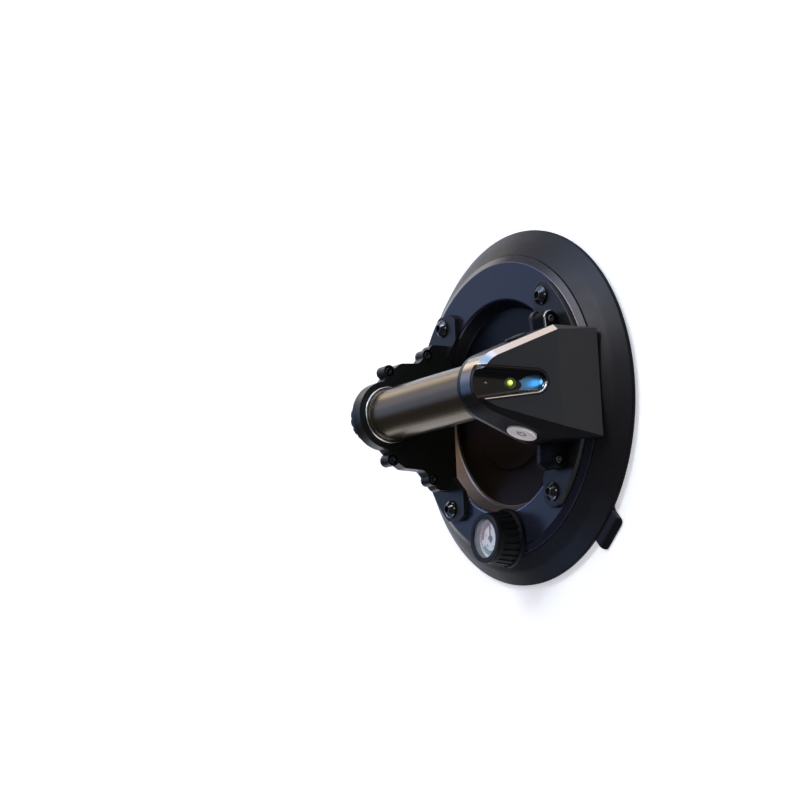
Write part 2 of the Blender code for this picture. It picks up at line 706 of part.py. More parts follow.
def build_far_bracket():
    """Makes the far bracket with its feet, the cover clamped on it and the four joining screws."""
    outline = [(-x, y) for x, y in foot_outline(
        FOOT_TOE_INNER, FAR_FLANGE_RADIUS, FAR_FLANGE_BACK, -FAR_INNER_FACE)]
    bracket = sheet(
        "far_bracket", [outline], (0, 0, FLANGE_BOTTOM), FLANGE_THICKNESS, NO_TURN, "black nylon")
    wall = sheet(
        "far_wall", [far_outline(FLANGE_BOTTOM + FLANGE_THICKNESS / 2)], (FAR_SPLIT, 0, 0),
        FAR_HALF_THICKNESS, OUTLINE_TO_YZ)
    lumps, holes = far_lumps("far_bracket", FAR_SPLIT, FAR_HALF_THICKNESS, counterbore=True)
    join(bracket, wall, *lumps)
    bore = rod(
        "far_tube_bore", TUBE_RADIUS + CLEARANCE, (FAR_COVER_BACK - OVERCUT, 0, GRIP_HEIGHT),
        FAR_HALF_THICKNESS + FAR_COVER_THICKNESS + 3 * OVERCUT, TURN_TO_X, sides=48)
    cut(bracket, bore, *holes)
    bracket_holes("far", bracket, -1)

    cover = sheet(
        "far_bracket_cover", [far_outline(FLANGE_TOP + CLEARANCE)], (FAR_COVER_BACK, 0, 0),
        FAR_COVER_THICKNESS, OUTLINE_TO_YZ, "black nylon")
    lumps, holes = far_lumps("far_cover", FAR_COVER_BACK, FAR_COVER_THICKNESS, counterbore=False)
    join(cover, *lumps)
    cut(cover, bore, *holes)
    for number, (y, z) in enumerate(far_boss_places(), start=1):
        joining_screw(
            f"far_joining_screw_{number}", (FAR_INNER_FACE - HEAD_RECESS + CLEARANCE, y, z),
            FAR_HALF_THICKNESS - HEAD_RECESS + FAR_COVER_THICKNESS)


def joining_screw(name, seat, length):
    """Makes a small socket screw whose head rests on seat and whose shank runs towards -X."""
    edge = JOINING_HEAD_HEIGHT / 3
    profile = [
        (0.0, JOINING_HEAD_HEIGHT),
        (JOINING_HEAD_RADIUS - edge, JOINING_HEAD_HEIGHT),
        (JOINING_HEAD_RADIUS, JOINING_HEAD_HEIGHT - edge),
        (JOINING_HEAD_RADIUS, 0.0),
        (JOINING_SCREW_RADIUS, 0.0),
        (JOINING_SCREW_RADIUS, -length),
        (0.0, -length),
    ]
    screw = turned(name, profile, seat, TURN_TO_X, "black steel", steps=14)
    socket_floor = Vector(seat) + Vector((JOINING_HEAD_HEIGHT - JOINING_SOCKET_DEPTH, 0.0, 0.0))
    cut(screw, hexagon(
        name + "_socket", JOINING_SOCKET_FLATS, socket_floor, JOINING_HEAD_HEIGHT, TURN_TO_X))


def housing_outline(inset, bottom, ear=()):
    """Gives the pump housing's outline across the grip: upright sides that lean in to a round top."""
    lean_turn = housing_lean()
    half_width = HOUSING_HALF_WIDTH - inset
    knee = HOUSING_KNEE - inset * math.tan(lean_turn / 2)
    radius = HOUSING_RADIUS - inset
    half = [(half_width, bottom), *ear, (half_width, knee)]
    half += arc((0.0, GRIP_HEIGHT), radius, lean_turn, math.pi / 2, 8)
    return mirrored(half)


def housing_lean():
    """Gives the angle by which the side walls lean in, from the tangent to the round top."""
    rise = GRIP_HEIGHT - HOUSING_KNEE
    reach = math.hypot(HOUSING_HALF_WIDTH, rise)
    towards_axis = math.atan2(rise, -HOUSING_HALF_WIDTH)
    return towards_axis - math.asin(HOUSING_RADIUS / reach) - math.pi / 2


def end_face_normals():
    """Gives the outward normals of the end face's upper and lower parts."""
    upper = Vector((END_TOP_HEIGHT - HOUSING_KNEE, 0.0, END_KNEE_X - END_TOP_X)).normalized()
    lower = Vector((HOUSING_KNEE - HOUSING_BOTTOM, 0.0, END_FOOT_X - END_KNEE_X)).normalized()
    return upper, lower


def housing_mesh(name, inset, start, bottom):
    """Makes the housing's outer form, or with an inset its hollow, from start to the end face."""
    mesh = outline_mesh(name, [housing_outline(inset, bottom)], 2 * END_FOOT_X)
    for vertex in mesh.vertices:
        across, up, along = vertex.co
        vertex.co = (along, across, up)
    slice_off(mesh, Vector((start, 0.0, 0.0)), Vector((-1.0, 0.0, 0.0)))
    for normal in end_face_normals():
        knee = Vector((END_KNEE_X, 0.0, HOUSING_KNEE)) - normal * inset
        slice_off(mesh, knee, normal)
    return mesh


def slot_outline(low_end, low_half, top_half):
    """Gives the thumb slot's outline on the end face, where X runs down the face."""
    low_centre = (-(low_end + low_half), 0.0)
    outline = arc(low_centre, low_half, -math.pi / 2, math.pi / 2, 9)
    return outline + [(-SLOT_TOP_RUN, top_half), (-SLOT_TOP_RUN, -top_half)]


def scoop_mesh(name):
    """Makes the scoop's form: the slot at the surface, drawn in to a smaller floor."""
    rim = slot_outline(
        SLOT_LOW_END + SCOOP_RIM, SLOT_LOW_HALF - SCOOP_RIM, SLOT_TOP_HALF - SCOOP_RIM)
    floor = slot_outline(
        SLOT_LOW_END + SCOOP_FLOOR_START, SLOT_LOW_HALF - SCOOP_RIM - SCOOP_SIDE_RAMP,
        SLOT_TOP_HALF - SCOOP_RIM - SCOOP_SIDE_RAMP)
    form = bmesh.new()
    loops = []
    for outline, depth in ((rim, OVERCUT), (rim, 0.0), (floor, -SCOOP_DEPTH)):
        corners = [form.verts.new((x, y, depth)) for x, y in outline]
        loops.append([
            form.edges.new((corner, corners[(index + 1) % len(corners)]))
            for index, corner in enumerate(corners)])
    bmesh.ops.contextual_create(form, geom=loops[0])
    bmesh.ops.contextual_create(form, geom=loops[2])
    bmesh.ops.bridge_loops(form, edges=loops[0] + loops[1])
    bmesh.ops.bridge_loops(form, edges=loops[1] + loops[2])
    bmesh.ops.recalc_face_normals(form, faces=form.faces)
    mesh = bpy.data.meshes.new(name)
    form.to_mesh(mesh)
    form.free()
    return mesh


def end_face_guide():
    """Adds the empty of the upper end face: Z leaves the face and X runs down it."""
    upper, _lower = end_face_normals()
    return guide("end_face", (END_KNEE_X, 0.0, HOUSING_KNEE), (0.0, math.atan2(upper.x, upper.z), 0.0))


def ear_outline(root, side=1):
    """Gives the outline of a screw ear beside the housing's wall, from its root."""
    tip = arc((LUG_HALF_SPREAD, LUG_HEIGHT), LUG_RADIUS, -math.pi / 2, math.pi / 2, 9)
    half = [(root, LUG_HEIGHT - LUG_ROOT_HALF)] + tip + [(root, LUG_HEIGHT + LUG_ROOT_HALF)]
    return [(side * y, z) for y, z in half]


def lug_places():
    """Gives the two screw ears' places (y, z), +Y first."""
    return [(side * LUG_HALF_SPREAD, LUG_HEIGHT) for side in (1, -1)]


def build_near_bracket():
    """Makes the near bracket: the wall that carries the tube, with its feet and screw lugs."""
    outline = foot_outline(
        NEAR_TOE_INNER, NEAR_FLANGE_RADIUS, NEAR_FLANGE_RADIUS, BRACKET_FACE - OVERCUT)
    bracket = sheet(
        "near_bracket", [outline], (0, 0, FLANGE_BOTTOM), FLANGE_THICKNESS, NO_TURN, "black nylon")
    wall = sheet(
        "near_wall",
        [housing_outline(0.0, FLANGE_BOTTOM + FLANGE_THICKNESS / 2, ear_outline(HOUSING_HALF_WIDTH))],
        (BRACKET_FACE, 0, 0), BRACKET_THICKNESS, OUTLINE_TO_YZ)
    join(bracket, wall)
    for number, (y, z) in enumerate(lug_places(), start=1):
        cut(bracket, rod(
            f"near_lug_hole_{number}", JOINING_SCREW_RADIUS + CLEARANCE,
            (BRACKET_FACE - OVERCUT, y, z), BRACKET_THICKNESS + 2 * OVERCUT, TURN_TO_X, sides=12))
    cut(
        bracket,
        rod("near_tube_bore", TUBE_RADIUS + CLEARANCE, (BRACKET_FACE - OVERCUT, 0, GRIP_HEIGHT),
            BRACKET_THICKNESS + 2 * OVERCUT, TURN_TO_X, sides=48),
        rod("flange_port_hole", PORT_SHANK_RADIUS + CLEARANCE, (PUMP_X, PORT_Y, 0.0), 2 * FLANGE_TOP,
            sides=16))
    bracket_holes("near", bracket, 1)
    return bracket


def build_near_cover(face):
    """Makes the pump housing's shell, open towards the bracket and the flange."""
    cover = place_object(
        "pump_housing", housing_mesh("pump_housing", 0.0, COVER_FACE, HOUSING_BOTTOM), (0, 0, 0),
        NO_TURN, "charcoal shell")
    chamfer = cover.modifiers.new("end_edges", "BEVEL")
    chamfer.width = HOUSING_EDGE
    chamfer.segments = 2
    chamfer.limit_method = "WEIGHT"
    weights = cover.data.attributes.new("bevel_weight_edge", "FLOAT", "EDGE")
    upper, lower = end_face_normals()
    knee = Vector((END_KNEE_X, 0.0, HOUSING_KNEE))
    for edge in cover.data.edges:
        ends = [cover.data.vertices[index].co for index in edge.vertices]
        on_face = all(
            min(abs((end - knee).dot(upper)), abs((end - knee).dot(lower))) < CLEARANCE for end in ends)
        across = abs(ends[0].y - ends[1].y) > 1.9 * (HOUSING_HALF_WIDTH - HOUSING_EDGE)
        weights.data[edge.index].value = 1.0 if on_face and not across else 0.0

    hollow = place_object(
        "housing_hollow", housing_mesh("housing_hollow", HOUSING_WALL, COVER_FACE - OVERCUT, 0.0),
        (0, 0, 0), NO_TURN, None)
    for side in (1, -1):
        join(cover, sheet(
            f"housing_lug_{side + 2}", [ear_outline(HOUSING_HALF_WIDTH - HOUSING_WALL / 2, side)],
            (COVER_FACE, 0, 0), LUG_LENGTH, OUTLINE_TO_YZ))
    cut(cover, hollow)
    for number, (y, z) in enumerate(lug_places(), start=1):
        cut(cover, *screw_hole(
            f"housing_lug_{number}", (COVER_FACE + LUG_LENGTH, y, z), LUG_LENGTH, counterbore=True))
        joining_screw(
            f"housing_screw_{number}",
            (COVER_FACE + LUG_LENGTH - HEAD_RECESS + CLEARANCE, y, z),
            LUG_LENGTH - HEAD_RECESS + BRACKET_THICKNESS)
    cut(cover, rod(
        "plate_clearance", PLATE_RADIUS + CLEARANCE, (0, 0, 0), FLANGE_TOP + CLEARANCE, sides=72))
    slot_depth = PANEL_THICKNESS + CLEARANCE
    cut(cover, sheet(
        "thumb_slot", [slot_outline(SLOT_LOW_END, SLOT_LOW_HALF, SLOT_TOP_HALF)],
        (0, 0, -slot_depth), slot_depth + 2 * OVERCUT, NO_TURN, parent=face))
    return cover


def build_indicator(face):
    """Makes the scooped indicator panel in the thumb slot, its two lamps and their circuit board."""
    panel = sheet(
        "indicator_panel",
        [slot_outline(
            SLOT_LOW_END + CLEARANCE, SLOT_LOW_HALF - CLEARANCE, SLOT_TOP_HALF - CLEARANCE)],
        (0, 0, -PANEL_THICKNESS), PANEL_THICKNESS - CLEARANCE, NO_TURN, "gloss black", face)
    boolean(panel, place_object(
        "panel_limit", housing_mesh("panel_limit", CLEARANCE, COVER_FACE, HOUSING_BOTTOM), (0, 0, 0),
        NO_TURN, None), "INTERSECT")
    cut(panel, place_object("panel_scoop", scoop_mesh("panel_scoop"), (0, 0, 0), NO_TURN, None, face))
    lamps = (
        ("status_lamp", STATUS_LED_RUN, STATUS_LED_RADIUS, "green lamp"),
        ("warning_lamp", WARNING_LED_RUN, WARNING_LED_RADIUS, "amber lamp"))
    board_top = -(PANEL_THICKNESS + CLEARANCE)
    for name, run, radius, finish in lamps:
        lamp_base = board_top + CLEARANCE
        height = -SCOOP_DEPTH - lamp_base
        cut(panel, rod(
            name + "_hole", radius + CLEARANCE, (-run, 0, lamp_base - OVERCUT), SCOOP_DEPTH + OVERCUT,
            parent=face, sides=20))
        dome = arc((0.0, height), radius, math.pi / 2, 0.0, 4)
        turned(name, dome + [(radius, 0.0), (0.0, 0.0)], (-run, 0, lamp_base), NO_TURN, finish, face,
               steps=16)
    block(
        "circuit_board", (-BOARD_END, -BOARD_HALF_WIDTH, board_top - BOARD_THICKNESS),
        (-BOARD_START, BOARD_HALF_WIDTH, board_top), "circuit board", face)


def build_button(name, side, radius, finish, seat_name, seat_finish, cover):
    """Makes a sprung push button in the leaning wall, with its spring and the body that it presses."""
    lean = housing_lean()
    wall_y = HOUSING_HALF_WIDTH - (BUTTON_HEIGHT - HOUSING_KNEE) * math.tan(lean)
    seat = guide(
        name + "_seat", (BUTTON_X, side * wall_y, BUTTON_HEIGHT), (-side * (math.pi / 2 - lean), 0.0, 0.0))
    back = BUTTON_PROUD - BUTTON_THICKNESS
    corner = (radius - BUTTON_ROUND, BUTTON_PROUD - BUTTON_ROUND)
    profile = [(0.0, BUTTON_PROUD)] + arc(corner, BUTTON_ROUND, math.pi / 2, 0.0, 3) + [
        (radius, back),
        (BUTTON_STEM_RADIUS, back),
        (BUTTON_STEM_RADIUS, back - BUTTON_STEM_LENGTH),
        (0.0, back - BUTTON_STEM_LENGTH),
    ]
    turned(name, profile, (0, 0, 0), NO_TURN, finish, seat, steps=24)
    cut(cover, rod(
        name + "_hole", radius + CLEARANCE, (0, 0, -HOUSING_WALL - OVERCUT),
        HOUSING_WALL + 2 * OVERCUT, parent=seat, sides=24))

    rim = -HOUSING_WALL - CLEARANCE
    floor = back - BUTTON_SPRING_HEIGHT - 2 * (CLEARANCE + BUTTON_SPRING_WIRE)
    outer = radius + CLEARANCE + BUTTON_SEAT_WALL
    neck_top = floor - BUTTON_SEAT_WALL
    stem_bore = BUTTON_STEM_RADIUS + RUNNING_CLEARANCE
    bore_bottom = back - BUTTON_STEM_LENGTH - BUTTON_TRAVEL - CLEARANCE
    body = [
        (0.0, bore_bottom),
        (stem_bore, bore_bottom),
        (stem_bore, floor),
        (radius + CLEARANCE, floor),
        (radius + CLEARANCE, rim),
        (outer, rim),
        (outer, neck_top),
        (BUTTON_SEAT_NECK, neck_top),
        (BUTTON_SEAT_NECK, -BUTTON_SEAT_DEPTH),
        (0.0, -BUTTON_SEAT_DEPTH),
    ]
    turned(seat_name, body, (0, 0, 0), NO_TURN, seat_finish, seat, steps=24)
    spring_radius = stem_bore + 2 * BUTTON_SPRING_WIRE
    wire(
        name + "_spring",
        coil_points(
            spring_radius, floor + CLEARANCE + BUTTON_SPRING_WIRE,
            back - CLEARANCE - BUTTON_SPRING_WIRE, BUTTON_SPRING_TURNS),
        BUTTON_SPRING_WIRE, "bright steel", seat)


# Grip
def build_grip():
    """Makes the grip tube with its ring, cells, contacts, spring, seal and screw-on end cap."""
    length = TUBE_NEAR_END - TUBE_FAR_END
    turned(
        "grip_tube",
        [(TUBE_RADIUS, length), (TUBE_RADIUS, 0.0), (TUBE_BORE, 0.0), (TUBE_BORE, length)],
        (TUBE_FAR_END, 0, GRIP_HEIGHT), TURN_TO_X, "anodised tube", steps=48, closed=True)
    ring_bore = TUBE_RADIUS + CLEARANCE
    turned(
        "grip_ring",
        [(ring_bore + RING_DEPTH, RING_WIDTH), (ring_bore + RING_DEPTH, 0.0),
         (ring_bore, 0.0), (ring_bore, RING_WIDTH)],
        (FAR_INNER_FACE + CLEARANCE, 0, GRIP_HEIGHT), TURN_TO_X, "bright steel", steps=40, closed=True)

    contact_x = BRACKET_BACK
    rod("battery_contact", TUBE_BORE - CLEARANCE, (contact_x, 0, GRIP_HEIGHT), CONTACT_THICKNESS,
        TURN_TO_X, "circuit board", sides=32)
    nub_tip = contact_x - CLEARANCE
    for number in (1, 2):
        body_end = nub_tip - CELL_NUB_HEIGHT
        start = body_end - CELL_LENGTH
        edge = CELL_NUB_HEIGHT / 2
        profile = [
            (0.0, CELL_LENGTH + CELL_NUB_HEIGHT),
            (CELL_NUB_RADIUS, CELL_LENGTH + CELL_NUB_HEIGHT),
            (CELL_NUB_RADIUS, CELL_LENGTH),
            (CELL_RADIUS - edge, CELL_LENGTH),
            (CELL_RADIUS, CELL_LENGTH - edge),
            (CELL_RADIUS, edge),
            (CELL_RADIUS - edge, 0.0),
            (0.0, 0.0),
        ]
        turned(f"battery_cell_{number}", profile, (start, 0, GRIP_HEIGHT), TURN_TO_X, "cell jacket",
               steps=24)
        nub_tip = start - CLEARANCE

    cap_face = FAR_COVER_BACK - CLEARANCE
    plug_radius = TUBE_BORE - RUNNING_CLEARANCE
    corner = (CAP_RADIUS - CAP_ROUND, CAP_LENGTH - CAP_ROUND)
    groove_depth = SEAL_SECTION
    groove_low = -CAP_PLUG_LENGTH / 2
    cap = turned(
        "end_cap",
        [(0.0, CAP_LENGTH)] + arc(corner, CAP_ROUND, math.pi / 2, 0.0, 4) + [
            (CAP_RADIUS, 0.0),
            (plug_radius, 0.0),
            (plug_radius, groove_low + SEAL_SECTION + CLEARANCE),
            (plug_radius - groove_depth, groove_low + SEAL_SECTION + CLEARANCE),
            (plug_radius - groove_depth, groove_low - SEAL_SECTION - CLEARANCE),
            (plug_radius, groove_low - SEAL_SECTION - CLEARANCE),
            (plug_radius, -CAP_PLUG_LENGTH),
            (0.0, -CAP_PLUG_LENGTH)],
        (cap_face, 0, GRIP_HEIGHT), TURN_TO_MINUS_X, "black nylon", steps=36)
    groove_ring = CAP_RADIUS + CAP_GROOVE_SETOUT
    for number in range(CAP_GROOVES):
        angle = 2 * math.pi * number / CAP_GROOVES
        cut(cap, rod(
            f"cap_groove_{number + 1}", CAP_GROOVE_RADIUS,
            (cap_face - CAP_LENGTH - OVERCUT, groove_ring * math.cos(angle),
             GRIP_HEIGHT + groove_ring * math.sin(angle)),
            CAP_LENGTH - CAP_ROUND / 2 + OVERCUT, TURN_TO_X, sides=8))
    seal_bore = plug_radius - groove_depth + CLEARANCE
    turned(
        "cap_seal",
        [(plug_radius, SEAL_SECTION), (plug_radius, -SEAL_SECTION), (seal_bore, -SEAL_SECTION),
         (seal_bore, SEAL_SECTION)],
        (cap_face - groove_low, 0, GRIP_HEIGHT), TURN_TO_X, "seal rubber", steps=32, closed=True)
    plug_end = cap_face + CAP_PLUG_LENGTH
    spring = wire(
        "battery_spring",
        coil_points(
            SPRING_RADIUS, CLEARANCE + SPRING_WIRE, nub_tip - plug_end - SPRING_WIRE, SPRING_TURNS),
        SPRING_WIRE, "bright steel")
    spring.location = (plug_end, 0, GRIP_HEIGHT)
    spring.rotation_euler = TURN_TO_X


# Pump
def build_pump():
    """Makes the motor, its cam shaft, and the diaphragm pump with yoke, diaphragm and valve head."""
    motor_front = PUMP_FACE_Y - CLEARANCE - MOTOR_BOSS_LENGTH
    motor_axis = (PUMP_X, 0.0, MOTOR_HEIGHT)
    bore = SHAFT_RADIUS + RUNNING_CLEARANCE
    turned(
        "pump_motor",
        [
            (0.0, -SHAFT_BACK - CLEARANCE), (bore, -SHAFT_BACK - CLEARANCE), (bore, MOTOR_BOSS_LENGTH),
            (MOTOR_BOSS_RADIUS, MOTOR_BOSS_LENGTH), (MOTOR_BOSS_RADIUS, 0.0),
            (MOTOR_RADIUS, 0.0), (MOTOR_RADIUS, -MOTOR_LENGTH), (0.0, -MOTOR_LENGTH),
        ],
        (PUMP_X, motor_front, MOTOR_HEIGHT), TURN_TO_Y, "motor can", steps=24)

    chamber_mid = PUMP_FACE_Y + PUMP_WIDTH / 2
    shaft = rod(
        "motor_shaft", SHAFT_RADIUS, (PUMP_X, motor_front - SHAFT_BACK, MOTOR_HEIGHT),
        SHAFT_BACK + MOTOR_BOSS_LENGTH + chamber_mid + CAM_WIDTH, TURN_TO_Y, "bright steel", sides=16)
    cam = rod(
        "cam", CAM_RADIUS, (PUMP_X, chamber_mid - CAM_WIDTH / 2, MOTOR_HEIGHT + CAM_THROW), CAM_WIDTH,
        TURN_TO_Y, sides=24)
    join(shaft, cam)

    low = (PUMP_X - PUMP_HALF_LENGTH, PUMP_FACE_Y, FLANGE_TOP + CLEARANCE)
    high = (PUMP_X + PUMP_HALF_LENGTH, PUMP_FACE_Y + PUMP_WIDTH, PUMP_TOP)
    body = block("pump_body", low, high, "pump plastic")
    chamber_bottom = MOTOR_HEIGHT - CAM_RADIUS - CAM_THROW - YOKE_WALL - 2 * RUNNING_CLEARANCE
    cut(
        body,
        block(
            "pump_chamber", (low[0] + PUMP_WALL, low[1] + PUMP_WALL, chamber_bottom - PUMP_WALL),
            (high[0] - PUMP_WALL, high[1] - PUMP_WALL, PUMP_TOP + OVERCUT)),
        rod("pump_shaft_hole", bore, (PUMP_X, PUMP_FACE_Y - OVERCUT, MOTOR_HEIGHT), 2 * OVERCUT + PUMP_WALL,
            TURN_TO_Y, sides=16))

    yoke_bore = CAM_RADIUS + CAM_THROW + RUNNING_CLEARANCE
    yoke = turned(
        "pump_yoke",
        [(yoke_bore + YOKE_WALL, YOKE_WIDTH / 2), (yoke_bore + YOKE_WALL, -YOKE_WIDTH / 2),
         (yoke_bore, -YOKE_WIDTH / 2), (yoke_bore, YOKE_WIDTH / 2)],
        (motor_axis[0], chamber_mid, MOTOR_HEIGHT), TURN_TO_Y, "pump plastic", steps=24, closed=True)
    diaphragm_low = PUMP_TOP + CLEARANCE
    stem_start = MOTOR_HEIGHT + yoke_bore + YOKE_WALL / 2
    join(yoke, rod(
        "yoke_stem", YOKE_STEM_RADIUS, (PUMP_X, chamber_mid, stem_start),
        diaphragm_low + DIAPHRAGM_THICKNESS - stem_start, sides=16))
    diaphragm = block(
        "pump_diaphragm", (low[0], low[1], diaphragm_low),
        (high[0], high[1], diaphragm_low + DIAPHRAGM_THICKNESS), "diaphragm rubber")
    cut(diaphragm, rod(
        "diaphragm_hole", YOKE_STEM_RADIUS + CLEARANCE, (PUMP_X, chamber_mid, PUMP_TOP - OVERCUT),
        DIAPHRAGM_THICKNESS + 2 * OVERCUT, sides=16))

    head_low = diaphragm_low + DIAPHRAGM_THICKNESS + CLEARANCE
    head = block(
        "pump_head", (low[0], low[1], head_low), (high[0], high[1], head_low + HEAD_HEIGHT), "pump plastic")
    nozzle_z = head_low + HEAD_HEIGHT / 2
    join(head, rod(
        "head_nozzle", NOZZLE_RADIUS, (PUMP_X, high[1] - OVERCUT, nozzle_z), NOZZLE_LENGTH + OVERCUT,
        TURN_TO_Y, sides=16))
    cut(
        head,
        rod("head_valve_pocket", YOKE_STEM_RADIUS + CLEARANCE, (PUMP_X, chamber_mid, head_low - OVERCUT),
            OVERCUT + HEAD_HEIGHT / 2, sides=16),
        rod("head_nozzle_bore", PORT_BORE_RADIUS, (PUMP_X, chamber_mid, nozzle_z),
            PUMP_WIDTH + NOZZLE_LENGTH, TURN_TO_Y, sides=12))
    return high[1] + NOZZLE_LENGTH, nozzle_z


def build_port(nozzle_tip, nozzle_z):
    """Makes the vacuum port: fitting, gasket, filter and the hose from the pump head."""
    barrel_low = CHAMBER_DEPTH + FILTER_THICKNESS + 3 * CLEARANCE
    gasket_low = FLANGE_TOP + CLEARANCE
    hex_low = gasket_low + GASKET_THICKNESS + CLEARANCE
    hex_top = hex_low + PORT_HEX_HEIGHT
    barb_top = hex_top + PORT_BARB_HEIGHT
    fitting = hexagon(
        "port_fitting", PORT_HEX_FLATS, (PUMP_X, PORT_Y, hex_low), PORT_HEX_HEIGHT, finish="brass")
    overlap = PORT_HEX_HEIGHT / 2
    join(
        fitting,
        rod("port_shank", PORT_SHANK_RADIUS, (PUMP_X, PORT_Y, barrel_low), hex_low + overlap - barrel_low,
            sides=16),
        rod("port_barb", NOZZLE_RADIUS, (PUMP_X, PORT_Y, hex_top - overlap), PORT_BARB_HEIGHT + overlap,
            sides=16))
    cut(fitting, rod(
        "port_bore", PORT_BORE_RADIUS, (PUMP_X, PORT_Y, 0.0), barb_top + OVERCUT, sides=12))
    ring_bore = PORT_SHANK_RADIUS + CLEARANCE
    turned(
        "port_gasket",
        [(GASKET_RADIUS, GASKET_THICKNESS), (GASKET_RADIUS, 0.0), (ring_bore, 0.0),
         (ring_bore, GASKET_THICKNESS)],
        (PUMP_X, PORT_Y, gasket_low), finish="seal rubber", steps=24, closed=True)
    rod("port_filter", FILTER_RADIUS, (PUMP_X, PORT_Y, CHAMBER_DEPTH + CLEARANCE), FILTER_THICKNESS,
        finish="felt", sides=20)

    bend = min(PORT_Y - nozzle_tip, nozzle_z - barb_top) - CLEARANCE
    points = [(PUMP_X, PORT_Y, barb_top + CLEARANCE)]
    for y, z in arc((PORT_Y - bend, nozzle_z - bend), bend, 0.0, math.pi / 2, 7):
        points.append((PUMP_X, y, z))
    points.append((PUMP_X, nozzle_tip + CLEARANCE, nozzle_z))
    wire("intake_hose", distinct(points), HOSE_RADIUS, "hose")


def distinct(points):
    """Drops a point that repeats the one before it."""
    kept = [points[0]]
    for point in points[1:]:
        if (Vector(point) - Vector(kept[-1])).length > CLEARANCE / 2:
            kept.append(point)
    return kept


